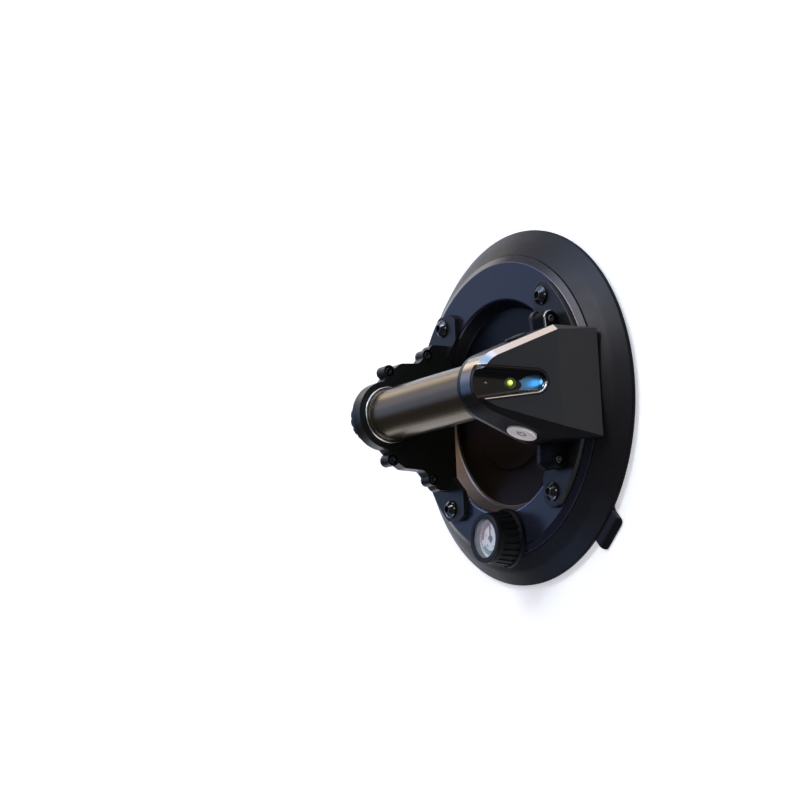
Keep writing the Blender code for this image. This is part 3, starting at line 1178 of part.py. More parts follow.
# Gauge
def build_gauge():
    """Makes the vacuum gauge: stem, case, rubber boot, movement, dial, pointer, lens and bezel."""
    centre = (GAUGE_X, GAUGE_Y, 0.0)
    boot_low = PLATE_TOP + CLEARANCE
    hex_top = boot_low + STEM_HEX_HEIGHT
    stem = hexagon("gauge_stem", STEM_HEX_FLATS, (GAUGE_X, GAUGE_Y, boot_low), STEM_HEX_HEIGHT,
                   finish="brass")
    shank_low = CHAMBER_DEPTH + CLEARANCE
    join(stem, rod(
        "gauge_shank", STEM_SHANK_RADIUS, (GAUGE_X, GAUGE_Y, shank_low),
        boot_low + STEM_HEX_HEIGHT / 2 - shank_low, sides=16))
    cut(stem, rod("gauge_stem_bore", STEM_BORE_RADIUS, centre, 2 * hex_top, sides=12))

    case_low = hex_top + CLEARANCE
    bezel_low = GAUGE_TOP - BEZEL_THICKNESS
    case_top = bezel_low - CLEARANCE
    case_bore = CASE_RADIUS - CASE_WALL
    floor = case_low + CASE_FLOOR
    turned(
        "gauge_case",
        [(CASE_RADIUS, case_top), (CASE_RADIUS, case_low), (STEM_BORE_RADIUS, case_low),
         (STEM_BORE_RADIUS, floor), (case_bore, floor), (case_bore, case_top)],
        centre, finish="black steel", steps=32, closed=True)

    boot = turned(
        "gauge_boot",
        [(BOOT_TOP_RADIUS, case_top), (BOOT_BASE_RADIUS, boot_low),
         (CASE_RADIUS + CLEARANCE, boot_low), (CASE_RADIUS + CLEARANCE, case_top)],
        centre, finish="seal rubber", steps=36, closed=True)
    lean = math.atan2(BOOT_BASE_RADIUS - BOOT_TOP_RADIUS, case_top - boot_low)
    slant = math.hypot(BOOT_BASE_RADIUS - BOOT_TOP_RADIUS, case_top - boot_low)
    for number in range(BOOT_RIBS):
        angle = 2 * math.pi * (number + 0.5) / BOOT_RIBS
        groove = rod(
            f"boot_groove_{number + 1}", BOOT_RIB_DEPTH,
            (GAUGE_X + BOOT_BASE_RADIUS * math.cos(angle), GAUGE_Y + BOOT_BASE_RADIUS * math.sin(angle),
             boot_low),
            slant - 2 * BOOT_RIB_DEPTH, (0.0, -lean, angle), sides=8)
        cut(boot, groove)

    dial_top = GAUGE_TOP - DIAL_DROP
    dial_low = dial_top - DIAL_THICKNESS
    dial = rod("gauge_dial", case_bore - CLEARANCE, (GAUGE_X, GAUGE_Y, dial_low), DIAL_THICKNESS,
               finish="dial white", sides=32)
    cut(dial, rod("dial_hole", ARBOR_RADIUS + RUNNING_CLEARANCE, centre, 2 * dial_top, sides=12))
    pointer_low = dial_top + CLEARANCE
    pointer = rod("gauge_pointer", POINTER_HUB_RADIUS, (GAUGE_X, GAUGE_Y, pointer_low),
                  2 * POINTER_THICKNESS, finish="pointer black", sides=20)
    needle_half = POINTER_WIDTH / 2
    needle_low = pointer_low + POINTER_THICKNESS / 2
    join(
        pointer,
        block("pointer_needle", (GAUGE_X - needle_half, GAUGE_Y - POINTER_TAIL, needle_low),
              (GAUGE_X + needle_half, GAUGE_Y + POINTER_LENGTH, needle_low + POINTER_THICKNESS)),
        rod("pointer_arbor", ARBOR_RADIUS, (GAUGE_X, GAUGE_Y, pointer_low - ARBOR_LENGTH),
            ARBOR_LENGTH + POINTER_THICKNESS, sides=12))

    movement_low = floor + CLEARANCE
    movement = rod("gauge_movement", MOVEMENT_RADIUS, (GAUGE_X, GAUGE_Y, movement_low), MOVEMENT_HEIGHT,
                   finish="brass", sides=24)
    coil_z = movement_low + COIL_TUBE_RADIUS + CLEARANCE
    arm_half = COIL_TUBE_RADIUS * 1.4
    join(movement, block(
        "movement_arm", (GAUGE_X, GAUGE_Y - arm_half, movement_low),
        (GAUGE_X + COIL_RADIUS + COIL_TUBE_RADIUS, GAUGE_Y + arm_half, coil_z + COIL_TUBE_RADIUS)))
    cut(movement, rod("movement_bore", ARBOR_RADIUS + RUNNING_CLEARANCE,
                      (GAUGE_X, GAUGE_Y, movement_low - OVERCUT), MOVEMENT_HEIGHT + 2 * OVERCUT, sides=12))
    start = math.asin((arm_half + CLEARANCE) / COIL_RADIUS)
    end = 1.5 * math.pi
    path = [(GAUGE_X + x, GAUGE_Y + y, coil_z) for x, y in arc((0.0, 0.0), COIL_RADIUS, start, end, 18)]
    wire("pressure_coil", path, COIL_TUBE_RADIUS, "brass")

    lens_low = case_top - LENS_THICKNESS
    rod("gauge_lens", case_bore - CLEARANCE, (GAUGE_X, GAUGE_Y, lens_low), LENS_THICKNESS,
        finish="clear lens", sides=32)
    turned(
        "gauge_bezel",
        [(BOOT_TOP_RADIUS - CLEARANCE, GAUGE_TOP), (BOOT_TOP_RADIUS, bezel_low),
         (BEZEL_BORE, bezel_low), (BEZEL_BORE, GAUGE_TOP)],
        centre, finish="black nylon", steps=36, closed=True)


def main():
    """Builds the whole lifter."""
    clear_scene()
    build_pad()
    build_plate()
    build_foot_fasteners()
    build_far_bracket()
    build_near_bracket()
    face = end_face_guide()
    cover = build_near_cover(face)
    build_indicator(face)
    build_button(
        "power_button", -1, POWER_BUTTON_RADIUS, "satin nickel", "power_switch", "pump plastic", cover)
    build_button(
        "release_button", 1, RELEASE_BUTTON_RADIUS, "black nylon", "release_valve", "brass", cover)
    build_grip()
    nozzle_tip, nozzle_z = build_pump()
    build_port(nozzle_tip, nozzle_z)
    build_gauge()


main()
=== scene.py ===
import logging
import math
from collections.abc import Callable, Sequence
from dataclasses import dataclass, field
from enum import Enum

import bmesh
import bpy
from mathutils import Matrix, Vector


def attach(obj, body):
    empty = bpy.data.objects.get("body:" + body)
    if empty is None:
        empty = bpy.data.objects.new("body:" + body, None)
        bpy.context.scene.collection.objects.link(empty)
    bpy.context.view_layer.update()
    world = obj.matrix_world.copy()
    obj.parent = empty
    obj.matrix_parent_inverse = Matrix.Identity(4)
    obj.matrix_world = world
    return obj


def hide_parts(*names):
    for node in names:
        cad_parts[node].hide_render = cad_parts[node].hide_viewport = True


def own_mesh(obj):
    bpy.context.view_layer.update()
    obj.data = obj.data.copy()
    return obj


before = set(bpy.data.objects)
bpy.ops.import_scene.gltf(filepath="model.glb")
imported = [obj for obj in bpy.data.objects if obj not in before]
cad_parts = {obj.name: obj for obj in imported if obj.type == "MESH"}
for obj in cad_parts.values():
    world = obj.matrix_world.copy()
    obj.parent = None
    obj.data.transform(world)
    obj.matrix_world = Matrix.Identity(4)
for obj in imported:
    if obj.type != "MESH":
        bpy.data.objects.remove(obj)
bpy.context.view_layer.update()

LOG = logging.getLogger("vacuum_lifter")
ROOT = "lifter"
TINY = 0.000001
GAP = 0.0003
OVERCUT = 0.002
FINE = 192
ROUND = 96
SMALL = 48

Point = tuple[float, float]
Corner = tuple[float, float, float]
Colour = tuple[float, float, float]

TO_X = Matrix.Rotation(math.pi / 2, 4, "Y")
TO_MINUS_X = Matrix.Rotation(-math.pi / 2, 4, "Y")
ACROSS = Matrix(((0, 0, 1, 0), (1, 0, 0, 0), (0, 1, 0, 0), (0, 0, 0, 1)))


class Grain(Enum):
    """The fine surface texture of a finish, with the stretch of its noise along X, Y and Z."""

    MOULDED = (1.0, 1.0, 1.0)
    DRAWN_ALONG_X = (0.03, 1.0, 1.0)
    TURNED = (1.0, 1.0, 0.08)
    WOVEN = (1.0, 1.0, 0.5)


@dataclass(frozen=True)
class Finish:
    """A procedural surface finish, built from noise on Object coordinates."""

    name: str
    slot: str
    colour: Colour
    roughness: float
    metallic: float = 0.0
    specular: float = 0.5
    mottle: float = 0.15
    mottle_scale: float = 45.0
    streak: float = 0.12
    grain: Grain = Grain.MOULDED
    grain_scale: float = 1400.0
    grain_depth: float = 0.00003
    grain_strength: float = 0.35
    coat: float = 0.0
    sheen: float = 0.0
    glow: float = 0.0
    alpha: float = 1.0
    # painted_side_tone: a painted tone towards -Y (the gauge's side) that stands in for reflection
    # and shade there
    painted_side_tone: Colour | None = None
    painted_side_tone_span: Point = (-0.035, 0.01)

    def material(self) -> bpy.types.Material:
        """Gives the finish's material, made the first time that it is asked for.

        Returns:
            The material, with colour, roughness and bump that vary over the surface.
        """
        found = bpy.data.materials.get(self.name)
        if found is not None:
            return found
        material = bpy.data.materials.new(self.name)
        material.use_nodes = True
        nodes, links = material.node_tree.nodes, material.node_tree.links
        shader = nodes["Principled BSDF"]
        shader.inputs["Metallic"].default_value = self.metallic
        shader.inputs["Specular IOR Level"].default_value = self.specular
        shader.inputs["Coat Weight"].default_value = self.coat
        shader.inputs["Coat Roughness"].default_value = 0.08
        shader.inputs["Sheen Weight"].default_value = self.sheen
        shader.inputs["Alpha"].default_value = self.alpha
        if self.glow > 0.0:
            shader.inputs["Emission Color"].default_value = (*self.colour, 1.0)
            shader.inputs["Emission Strength"].default_value = self.glow

        place = nodes.new("ShaderNodeTexCoord")
        stretch = nodes.new("ShaderNodeMapping")
        stretch.inputs["Scale"].default_value = self.grain.value
        links.new(place.outputs["Object"], stretch.inputs["Vector"])

        cloud = nodes.new("ShaderNodeTexNoise")
        cloud.inputs["Scale"].default_value = self.mottle_scale
        cloud.inputs["Detail"].default_value = 5.0
        links.new(place.outputs["Object"], cloud.inputs["Vector"])
        tint = nodes.new("ShaderNodeMix")
        tint.data_type = "RGBA"
        for socket, share in (("A", 1.0 - self.mottle), ("B", 1.0 + self.mottle)):
            colours = [item for item in tint.inputs if item.name == socket and item.type == "RGBA"]
            colours[0].default_value = (*(min(1.0, part * share) for part in self.colour), 1.0)
        links.new(cloud.outputs["Fac"], tint.inputs["Factor"])
        tinted = [item for item in tint.outputs if item.type == "RGBA"][0]
        if self.painted_side_tone is not None:
            tinted = self.mix_painted_side(material, place.outputs["Object"], tinted)
        links.new(tinted, shader.inputs["Base Color"])

        streaks = nodes.new("ShaderNodeTexNoise")
        streaks.inputs["Scale"].default_value = self.grain_scale / 6
        streaks.inputs["Detail"].default_value = 3.0
        links.new(stretch.outputs["Vector"], streaks.inputs["Vector"])
        gloss = nodes.new("ShaderNodeMapRange")
        gloss.inputs["From Min"].default_value = 0.2
        gloss.inputs["From Max"].default_value = 0.8
        gloss.inputs["To Min"].default_value = self.roughness * (1.0 - self.streak)
        gloss.inputs["To Max"].default_value = min(1.0, self.roughness * (1.0 + self.streak))
        links.new(streaks.outputs["Fac"], gloss.inputs["Value"])
        links.new(gloss.outputs["Result"], shader.inputs["Roughness"])

        grain = nodes.new("ShaderNodeTexNoise")
        grain.inputs["Scale"].default_value = self.grain_scale
        grain.inputs["Detail"].default_value = 2.0
        links.new(stretch.outputs["Vector"], grain.inputs["Vector"])
        bump = nodes.new("ShaderNodeBump")
        bump.inputs["Strength"].default_value = self.grain_strength
        bump.inputs["Distance"].default_value = self.grain_depth
        links.new(grain.outputs["Fac"], bump.inputs["Height"])
        links.new(bump.outputs["Normal"], shader.inputs["Normal"])
        return material

    def mix_painted_side(
            self, material: bpy.types.Material, place: bpy.types.NodeSocket,
            tinted: bpy.types.NodeSocket) -> bpy.types.NodeSocket:
        """Fades a finish's colour to its second tone towards the gauge's side. That tone is painted
        light: a painted reflection in the dish, painted shade on the housing's border.

        Args:
            material: The finish's material.
            place: The socket that gives the Object coordinates.
            tinted: The socket that gives the first tone.

        Returns:
            The socket that gives the faded colour.
        """
        nodes, links = material.node_tree.nodes, material.node_tree.links
        parts = nodes.new("ShaderNodeSeparateXYZ")
        links.new(place, parts.inputs["Vector"])
        share = nodes.new("ShaderNodeMapRange")
        share.interpolation_type = "SMOOTHSTEP"
        share.inputs["From Min"].default_value = self.painted_side_tone_span[0]
        share.inputs["From Max"].default_value = self.painted_side_tone_span[1]
        links.new(parts.outputs["Y"], share.inputs["Value"])
        fade = nodes.new("ShaderNodeMix")
        fade.data_type = "RGBA"
        links.new(share.outputs["Result"], fade.inputs["Factor"])
        low, high = [item for item in fade.inputs if item.type == "RGBA"]
        low.default_value = (*self.painted_side_tone, 1.0)
        links.new(tinted, high)
        return [item for item in fade.outputs if item.type == "RGBA"][0]

    def put_on_faces(
            self, piece: bpy.types.Object, chosen: Callable[[bpy.types.MeshPolygon], bool]) -> None:
        """Dresses the faces of a piece that a test chooses in this finish.

        Args:
            piece: The piece, already dressed in its first finish.
            chosen: The test of a face.
        """
        piece.data.materials.append(self.material())
        place = len(piece.data.materials) - 1
        for face in piece.data.polygons:
            if chosen(face):
                face.material_index = place

    def put_on(self, piece: bpy.types.Object) -> None:
        """Dresses a piece in this finish.

        Args:
            piece: A new piece, or a node that keeps its own solid.
        """
        if piece.material_slots:
            for place in piece.material_slots:
                place.material = self.material()
        else:
            piece.data.materials.append(self.material())


PAD_RUBBER = Finish(
    "pad rubber", "pad_rubber", (0.0065, 0.0060, 0.0070), 0.42, specular=0.25, mottle=0.25,
    mottle_scale=22.0, grain_scale=420.0, grain_depth=0.00002, grain_strength=0.2)
# Painted shade: a darker, duller copy of the pad rubber for the outer rim and the tab's end, giving
# the dark line there
PAD_RIM_SHADE = Finish(
    "pad rim painted shade", "pad_rubber", (0.0040, 0.0040, 0.0050), 0.60, specular=0.10, mottle=0.25,
    mottle_scale=22.0, grain_scale=420.0, grain_depth=0.00002, grain_strength=0.2)
PLATE_ENAMEL = Finish(
    "plate enamel", "plate_enamel", (0.009, 0.011, 0.019), 0.24, specular=0.40, mottle=0.15,
    grain_scale=260.0, grain_depth=0.00002, grain_strength=0.12)
# Painted shade and painted reflection: the plate's enamel made darker and duller in the dish, where
# shade falls, fading to a painted brown reflection towards the gauge's side
DISH_PAINTED_SHADE = Finish(
    "dish enamel painted shade", "plate_enamel", (0.0045, 0.0060, 0.0095), 0.30, specular=0.08, mottle=0.3,
    mottle_scale=18.0, grain_scale=260.0, grain_depth=0.00002, grain_strength=0.12,
    painted_side_tone=(0.018, 0.010, 0.005))
# Painted highlight: a tan metallic tone on the dish wall on the gauge's side stands in for the warm
# light that catches it
DISH_WALL_HIGHLIGHT = Finish(
    "dish wall painted highlight", "plate_enamel", (0.250, 0.195, 0.160), 0.36, metallic=0.8, mottle=0.3,
    mottle_scale=30.0, grain_scale=260.0, grain_depth=0.00001, grain_strength=0.1)
# Painted reflection: a lilac metallic tone on the dish rim towards the gauge's side stands in for
# the light reflected along it
RIM_REFLECTION = Finish(
    "dish rim painted reflection", "plate_enamel", (0.260, 0.270, 0.340), 0.28, metallic=1.0, mottle=0.3,
    mottle_scale=30.0, grain_scale=260.0, grain_depth=0.00001, grain_strength=0.1)
# Painted highlight: a bright metallic tone on the plate's rounded outer edge stands in for the thin
# line of light along it
PLATE_EDGE_HIGHLIGHT = Finish(
    "plate edge painted highlight", "plate_enamel", (0.130, 0.128, 0.135), 0.26, metallic=1.0, mottle=0.35,
    mottle_scale=30.0, grain_scale=260.0, grain_depth=0.00001, grain_strength=0.1)
BLACK_NYLON = Finish(
    "black nylon", "black_nylon", (0.004, 0.004, 0.004), 0.36, specular=0.28, mottle=0.2,
    grain_strength=0.2)
OLIVE_NYLON = Finish(
    "bracket nylon", "black_nylon", (0.007, 0.007, 0.0055), 0.34, specular=0.32, mottle=0.2,
    grain_strength=0.2)
CHARCOAL_SHELL = Finish(
    "charcoal shell", "charcoal_shell", (0.0115, 0.0105, 0.0100), 0.38, specular=0.27, mottle=0.12,
    grain_scale=700.0, grain_strength=0.15, grain_depth=0.00001)
# Painted highlight: a bright cream metallic tone on the end face's border, the round top and the +Y
# ear's rim stands in for the warm light along them; its darker grey painted_side_tone towards -Y is
# painted shade
BORDER_HIGHLIGHT = Finish(
    "border painted highlight", "charcoal_shell", (0.300, 0.262, 0.228), 0.17, metallic=1.0, mottle=0.10,
    mottle_scale=25.0, grain_scale=700.0, grain_strength=0.05, grain_depth=0.00001,
    painted_side_tone=(0.110, 0.112, 0.118), painted_side_tone_span=(-0.004, 0.013))
# Painted highlight: a bright metallic tone on the lower side of the slot's lip stands in for the
# light along it
LIP_HIGHLIGHT = Finish(
    "lip painted highlight", "gloss_black", (0.380, 0.350, 0.330), 0.20, metallic=1.0, mottle=0.10,
    mottle_scale=25.0, grain_scale=700.0, grain_strength=0.05, grain_depth=0.00001)
# Painted shade: a darker, duller copy of the shell for the ears, the leaning wall on the button's
# side, the border's -Y part and the scoop's upper side, where shade falls
SHADE_BLACK = Finish(
    "painted shade black", "charcoal_shell", (0.0025, 0.0025, 0.0030), 0.50, specular=0.06, mottle=0.12,
    grain_scale=700.0, grain_strength=0.15, grain_depth=0.00001)
GLOSS_BLACK = Finish(
    "gloss black", "gloss_black", (0.013, 0.009, 0.006), 0.17, specular=0.20, mottle=0.1,
    grain_strength=0.05)
ANODISED_TUBE = Finish(
    "anodised tube", "anodised_tube", (0.136, 0.106, 0.066), 0.25, metallic=0.9, mottle=0.06,
    streak=0.2, grain=Grain.DRAWN_ALONG_X, grain_scale=2000.0, grain_depth=0.00001)
BRIGHT_STEEL = Finish(
    "bright steel", "bright_steel", (0.620, 0.610, 0.570), 0.25, metallic=1.0, mottle=0.05,
    grain=Grain.TURNED, grain_depth=0.00001)
BLACK_STEEL = Finish(
    "black steel", "black_steel", (0.012, 0.012, 0.014), 0.14, specular=0.8, mottle=0.15,
    grain_depth=0.00001)
# Painted reflection: a blue metallic tone on the scoop's ramp stands in for the blue streak of
# light reflected there
RAMP_REFLECTION = Finish(
    "ramp painted reflection", "gloss_black", (0.120, 0.260, 0.400), 0.16, metallic=0.95, mottle=0.1,
    grain_strength=0.05)
SATIN_NICKEL = Finish(
    "satin nickel", "satin_nickel", (0.860, 0.770, 0.690), 0.40, metallic=0.3, mottle=0.06,
    grain=Grain.TURNED, grain_depth=0.00001)
NICKEL_MARK = Finish(
    "mark paint", "satin_nickel", (0.200, 0.130, 0.105), 0.5, mottle=0.1)
BRASS = Finish(
    "brass", "brass", (0.650, 0.480, 0.220), 0.32, metallic=1.0, mottle=0.08, grain=Grain.TURNED)
SEAL_RUBBER = Finish(
    "seal rubber", "seal_rubber", (0.0030, 0.0033, 0.0038), 0.50, specular=0.10, mottle=0.25,
    grain_scale=700.0, grain_depth=0.00005)
CELL_JACKET = Finish("cell jacket", "cell_jacket", (0.080, 0.180, 0.420), 0.38, mottle=0.05)
BOARD_RESIST = Finish("board resist", "circuit_board", (0.020, 0.160, 0.060), 0.48, mottle=0.2)
GREEN_LAMP = Finish(
    "green lamp", "green_lamp", (0.360, 0.480, 0.020), 0.20, mottle=0.03, glow=0.9,
    grain_strength=0.05)
LAMP_HEART = Finish(
    "lamp heart", "green_lamp", (0.740, 0.900, 0.240), 0.20, mottle=0.03, glow=1.0,
    grain_strength=0.05)
# Painted light: a dim glowing olive ring on the panel around the green lens stands in for the
# lamp's light spilling onto it; the ring itself is no lamp
LAMP_SPILL_GLOW = Finish(
    "lamp spill painted glow", "green_lamp", (0.028, 0.034, 0.004), 0.30, mottle=0.1, glow=0.5,
    grain_strength=0.05)
AMBER_LAMP = Finish(
    "amber lamp", "amber_lamp", (0.160, 0.120, 0.090), 0.15, mottle=0.05, grain_strength=0.05)
MOTOR_CAN = Finish(
    "motor can", "motor_can", (0.500, 0.500, 0.500), 0.33, metallic=1.0, mottle=0.06,
    grain=Grain.TURNED)
PUMP_PLASTIC = Finish("pump plastic", "pump_plastic", (0.250, 0.250, 0.260), 0.45, mottle=0.08)
DIAPHRAGM_RUBBER = Finish(
    "diaphragm rubber", "diaphragm_rubber", (0.060, 0.060, 0.060), 0.68, mottle=0.2)
SILICONE = Finish("silicone", "hose", (0.600, 0.600, 0.580), 0.34, mottle=0.05)
FELT = Finish(
    "felt", "felt", (0.700, 0.700, 0.660), 0.92, mottle=0.2, grain=Grain.WOVEN, grain_depth=0.0002,
    sheen=0.4)
DIAL_WHITE = Finish(
    "dial white", "dial_white", (0.840, 0.850, 0.870), 0.50, mottle=0.02, grain_depth=0.00001)
DIAL_RED = Finish("dial red", "dial_white", (0.480, 0.110, 0.170), 0.50, mottle=0.05)
DIAL_GREEN = Finish("dial green", "dial_white", (0.060, 0.330, 0.270), 0.50, mottle=0.05)
DIAL_BLACK = Finish("dial black", "dial_white", (0.030, 0.032, 0.036), 0.50, mottle=0.05)
CASE_GREY = Finish(
    "case grey", "black_steel", (0.095, 0.105, 0.120), 0.42, metallic=0.3, mottle=0.1)
POINTER_BLACK = Finish("pointer black", "pointer_black", (0.020, 0.022, 0.026), 0.40, mottle=0.1)
CLEAR_LENS = Finish(
    "clear lens", "clear_lens", (0.900, 0.920, 0.920), 0.04, mottle=0.01, alpha=0.12,
    grain_strength=0.02)


def arc(centre: Point, radius: float, start: float, end: float, count: int) -> list[Point]:
    """Draws an arc in the drawing plane.

    Args:
        centre: The arc's centre.
        radius: Its radius.
        start: The angle of its first point, in radians.
        end: The angle of its last point.
        count: How many points it gets, both ends included.

    Returns:
        The points in order.
    """
    angles = (start + (end - start) * step / (count - 1) for step in range(count))
    return [(centre[0] + radius * math.cos(a), centre[1] + radius * math.sin(a)) for a in angles]


def plain(points: Sequence[Point]) -> list[Corner]:
    """Gives points as corners without rounding."""
    return [(x, y, 0.0) for x, y in points]


def rounded(corners: Sequence[Corner], closed: bool = True, steps: int = 6) -> list[Point]:
    """Draws a line through corners, each rounded by its own radius.

    Args:
        corners: Each corner's two coordinates and its radius.
        closed: Whether the line closes on itself.
        steps: The segments of each rounding.

    Returns:
        The points of the line in order.
    """
    points: list[Point] = []
    count = len(corners)
    for index, (x, y, radius) in enumerate(corners):
        if radius <= 0.0 or (not closed and index in (0, count - 1)):
            points.append((x, y))
            continue
        here = Vector((x, y))
        back = (Vector(corners[index - 1][:2]) - here).normalized()
        on = (Vector(corners[(index + 1) % count][:2]) - here).normalized()
        half = back.angle(on) / 2
        centre = here + (back + on).normalized() * (radius / math.sin(half))
        first = here + back * (radius / math.tan(half)) - centre
        last = here + on * (radius / math.tan(half)) - centre
        start = math.atan2(first.y, first.x)
        sweep = (math.atan2(last.y, last.x) - start + math.pi) % (2 * math.pi) - math.pi
        points += arc((centre.x, centre.y), radius, start, start + sweep, steps + 1)
    return points


def mirrored(half: Sequence[Corner]) -> list[Corner]:
    """Completes a half outline by its mirror image in the vertical axis."""
    return list(half) + [(-x, y, radius) for x, y, radius in reversed(half) if x > TINY]


class Form:
    """A closed shape under construction."""

    def __init__(self) -> None:
        """Starts an empty form."""
        self.shape = bmesh.new()

    @classmethod
    def turned(cls, profile: Sequence[Point], steps: int = ROUND) -> "Form":
        """Turns a profile of (radius, height) points about Z.

        Args:
            profile: The points, from axis to axis, or a loop that stays off the axis.
            steps: The steps of the full turn.

        Returns:
            The turned form, closed at its poles or as a ring.
        """
        form = cls()
        shape = form.shape
        corners = [shape.verts.new((radius, 0.0, height)) for radius, height in profile]
        edges = [shape.edges.new(pair) for pair in zip(corners, corners[1:])]
        if min(profile[0][0], profile[-1][0]) > TINY:
            edges.append(shape.edges.new((corners[-1], corners[0])))
        bmesh.ops.spin(
            shape, geom=corners + edges, cent=(0, 0, 0), axis=(0, 0, 1), dvec=(0, 0, 0),
            angle=2 * math.pi, steps=steps, use_merge=True, use_duplicate=False)
        return form.closed()

    @classmethod
    def sheet(cls, outline: Sequence[Point], low: float, high: float) -> "Form":
        """Draws a flat solid between two heights.

        Args:
            outline: The points of its edge.
            low: The height of its underside.
            high: The height of its top.

        Returns:
            The solid.
        """
        form = cls()
        shape = form.shape
        face = shape.faces.new([shape.verts.new((x, y, low)) for x, y in outline])
        grown = bmesh.ops.extrude_face_region(shape, geom=[face])
        tops = [item for item in grown["geom"] if isinstance(item, bmesh.types.BMVert)]
        bmesh.ops.translate(shape, vec=(0.0, 0.0, high - low), verts=tops)
        return form.closed()

    @classmethod
    def strung(cls, loops: Sequence[Sequence[Corner]]) -> "Form":
        """Joins closed loops of equal point count in order and caps the two ends.

        Args:
            loops: The loops' points in space.

        Returns:
            The closed form.
        """
        form = cls()
        shape = form.shape
        rings = []
        for loop in loops:
            corners = [shape.verts.new(point) for point in loop]
            rings.append([
                shape.edges.new((corner, corners[(place + 1) % len(corners)]))
                for place, corner in enumerate(corners)])
        bmesh.ops.contextual_create(shape, geom=rings[0])
        bmesh.ops.contextual_create(shape, geom=rings[-1])
        for lower, upper in zip(rings, rings[1:]):
            bmesh.ops.bridge_loops(shape, edges=lower + upper)
        return form.closed()

    @classmethod
    def loft(cls, loops: Sequence[tuple[Sequence[Point], float]]) -> "Form":
        """Joins flat outlines of equal point count, each at its own height."""
        return cls.strung([[(x, y, height) for x, y in outline] for outline, height in loops])

    @classmethod
    def rod(cls, radius: float, low: float, high: float, steps: int = SMALL) -> "Form":
        """Makes a cylinder on Z between two heights.

        Args:
            radius: Its radius.
            low: The height of its lower end.
            high: The height of its upper end.
            steps: The sides of its round.

        Returns:
            The cylinder.
        """
        form = cls()
        bmesh.ops.create_cone(
            form.shape, cap_ends=True, segments=steps, radius1=radius, radius2=radius,
            depth=high - low)
        bmesh.ops.translate(form.shape, vec=(0.0, 0.0, (low + high) / 2), verts=form.shape.verts)
        return form

    @classmethod
    def block(cls, low: Sequence[float], high: Sequence[float]) -> "Form":
        """Makes a box between two corners.

        Args:
            low: Its lowest corner.
            high: Its highest corner.

        Returns:
            The box.
        """
        form = cls()
        size = Vector(high) - Vector(low)
        bmesh.ops.create_cube(form.shape, size=1.0)
        bmesh.ops.scale(form.shape, vec=size, verts=form.shape.verts)
        bmesh.ops.translate(form.shape, vec=Vector(low) + size / 2, verts=form.shape.verts)
        return form

    def closed(self) -> "Form":
        """Merges doubles and points every face outwards.

        Returns:
            The form itself.
        """
        bmesh.ops.remove_doubles(self.shape, verts=self.shape.verts, dist=TINY)
        bmesh.ops.recalc_face_normals(self.shape, faces=self.shape.faces)
        return self

    def moved(self, x: float, y: float, z: float = 0.0) -> "Form":
        """Moves the form."""
        bmesh.ops.translate(self.shape, vec=(x, y, z), verts=self.shape.verts)
        return self

    def turned_by(self, matrix: Matrix) -> "Form":
        """Turns and moves the form by a matrix."""
        bmesh.ops.transform(self.shape, matrix=matrix, verts=self.shape.verts)
        return self

    def sliced(self, point: Vector, normal: Vector) -> "Form":
        """Cuts away what lies beyond a plane and closes the cut.

        Args:
            point: A point of the plane.
            normal: The plane's normal, towards what is cut away.

        Returns:
            The form itself.
        """
        cut = bmesh.ops.bisect_plane(
            self.shape, geom=self.shape.verts[:] + self.shape.edges[:] + self.shape.faces[:],
            plane_co=point, plane_no=normal, clear_outer=True, dist=TINY)
        rim = [item for item in cut["geom_cut"] if isinstance(item, bmesh.types.BMEdge)]
        bmesh.ops.contextual_create(self.shape, geom=rim)
        return self.closed()

    def edged(
            self, chosen: Callable[[bmesh.types.BMEdge], bool], width: float,
            segments: int) -> "Form":
        """Bevels the edges that a test chooses.

        Args:
            chosen: The test of an edge.
            width: The bevel's width.
            segments: Its segments.

        Returns:
            The form itself.
        """
        edges = [edge for edge in self.shape.edges if chosen(edge)]
        bmesh.ops.bevel(
            self.shape, geom=edges, offset=width, offset_type="OFFSET", affect="EDGES",
            segments=segments, profile=0.5, material=-1)
        return self

    def pinched(self, chosen: Callable[[Vector], bool], scale: float) -> "Form":
        """Draws the points that a test chooses towards the Z axis.

        Args:
            chosen: The test of a point.
            scale: What the points' reach is multiplied by.

        Returns:
            The form itself.
        """
        points = [point for point in self.shape.verts if chosen(point.co)]
        bmesh.ops.scale(self.shape, vec=(scale, scale, 1.0), verts=points)
        return self

    def holder(self) -> bpy.types.Object:
        """Gives a temporary object that holds the form's mesh.

        Returns:
            The object.
        """
        mesh = bpy.data.meshes.new("work")
        self.shape.to_mesh(mesh)
        piece = bpy.data.objects.new("work", mesh)
        bpy.context.scene.collection.objects.link(piece)
        return piece

    def combined(self, others: Sequence["Form"], operation: str) -> "Form":
        """Applies other forms to this one, one by one.

        Args:
            others: The other forms, used up by this.
            operation: DIFFERENCE, UNION or INTERSECT.

        Returns:
            The form itself.
        """
        piece = self.holder()
        workers = [other.holder() for other in others]
        for worker in workers:
            step = piece.modifiers.new("step", "BOOLEAN")
            step.operation = operation
            step.object = worker
            step.solver = "EXACT"
        bpy.context.view_layer.update()
        result = bpy.data.meshes.new_from_object(
            piece.evaluated_get(bpy.context.evaluated_depsgraph_get()))
        self.shape.clear()
        self.shape.from_mesh(result)
        for used in [piece, *workers]:
            mesh = used.data
            bpy.data.objects.remove(used, do_unlink=True)
            bpy.data.meshes.remove(mesh)
        bpy.data.meshes.remove(result)
        for other in others:
            other.shape.free()
        bmesh.ops.remove_doubles(self.shape, verts=self.shape.verts, dist=TINY)
        bmesh.ops.dissolve_limit(
            self.shape, angle_limit=math.radians(0.2), verts=self.shape.verts,
            edges=self.shape.edges)
        return self

    def carved(self, *cutters: "Form") -> "Form":
        """Takes other forms away from this one."""
        return self.combined(cutters, "DIFFERENCE")

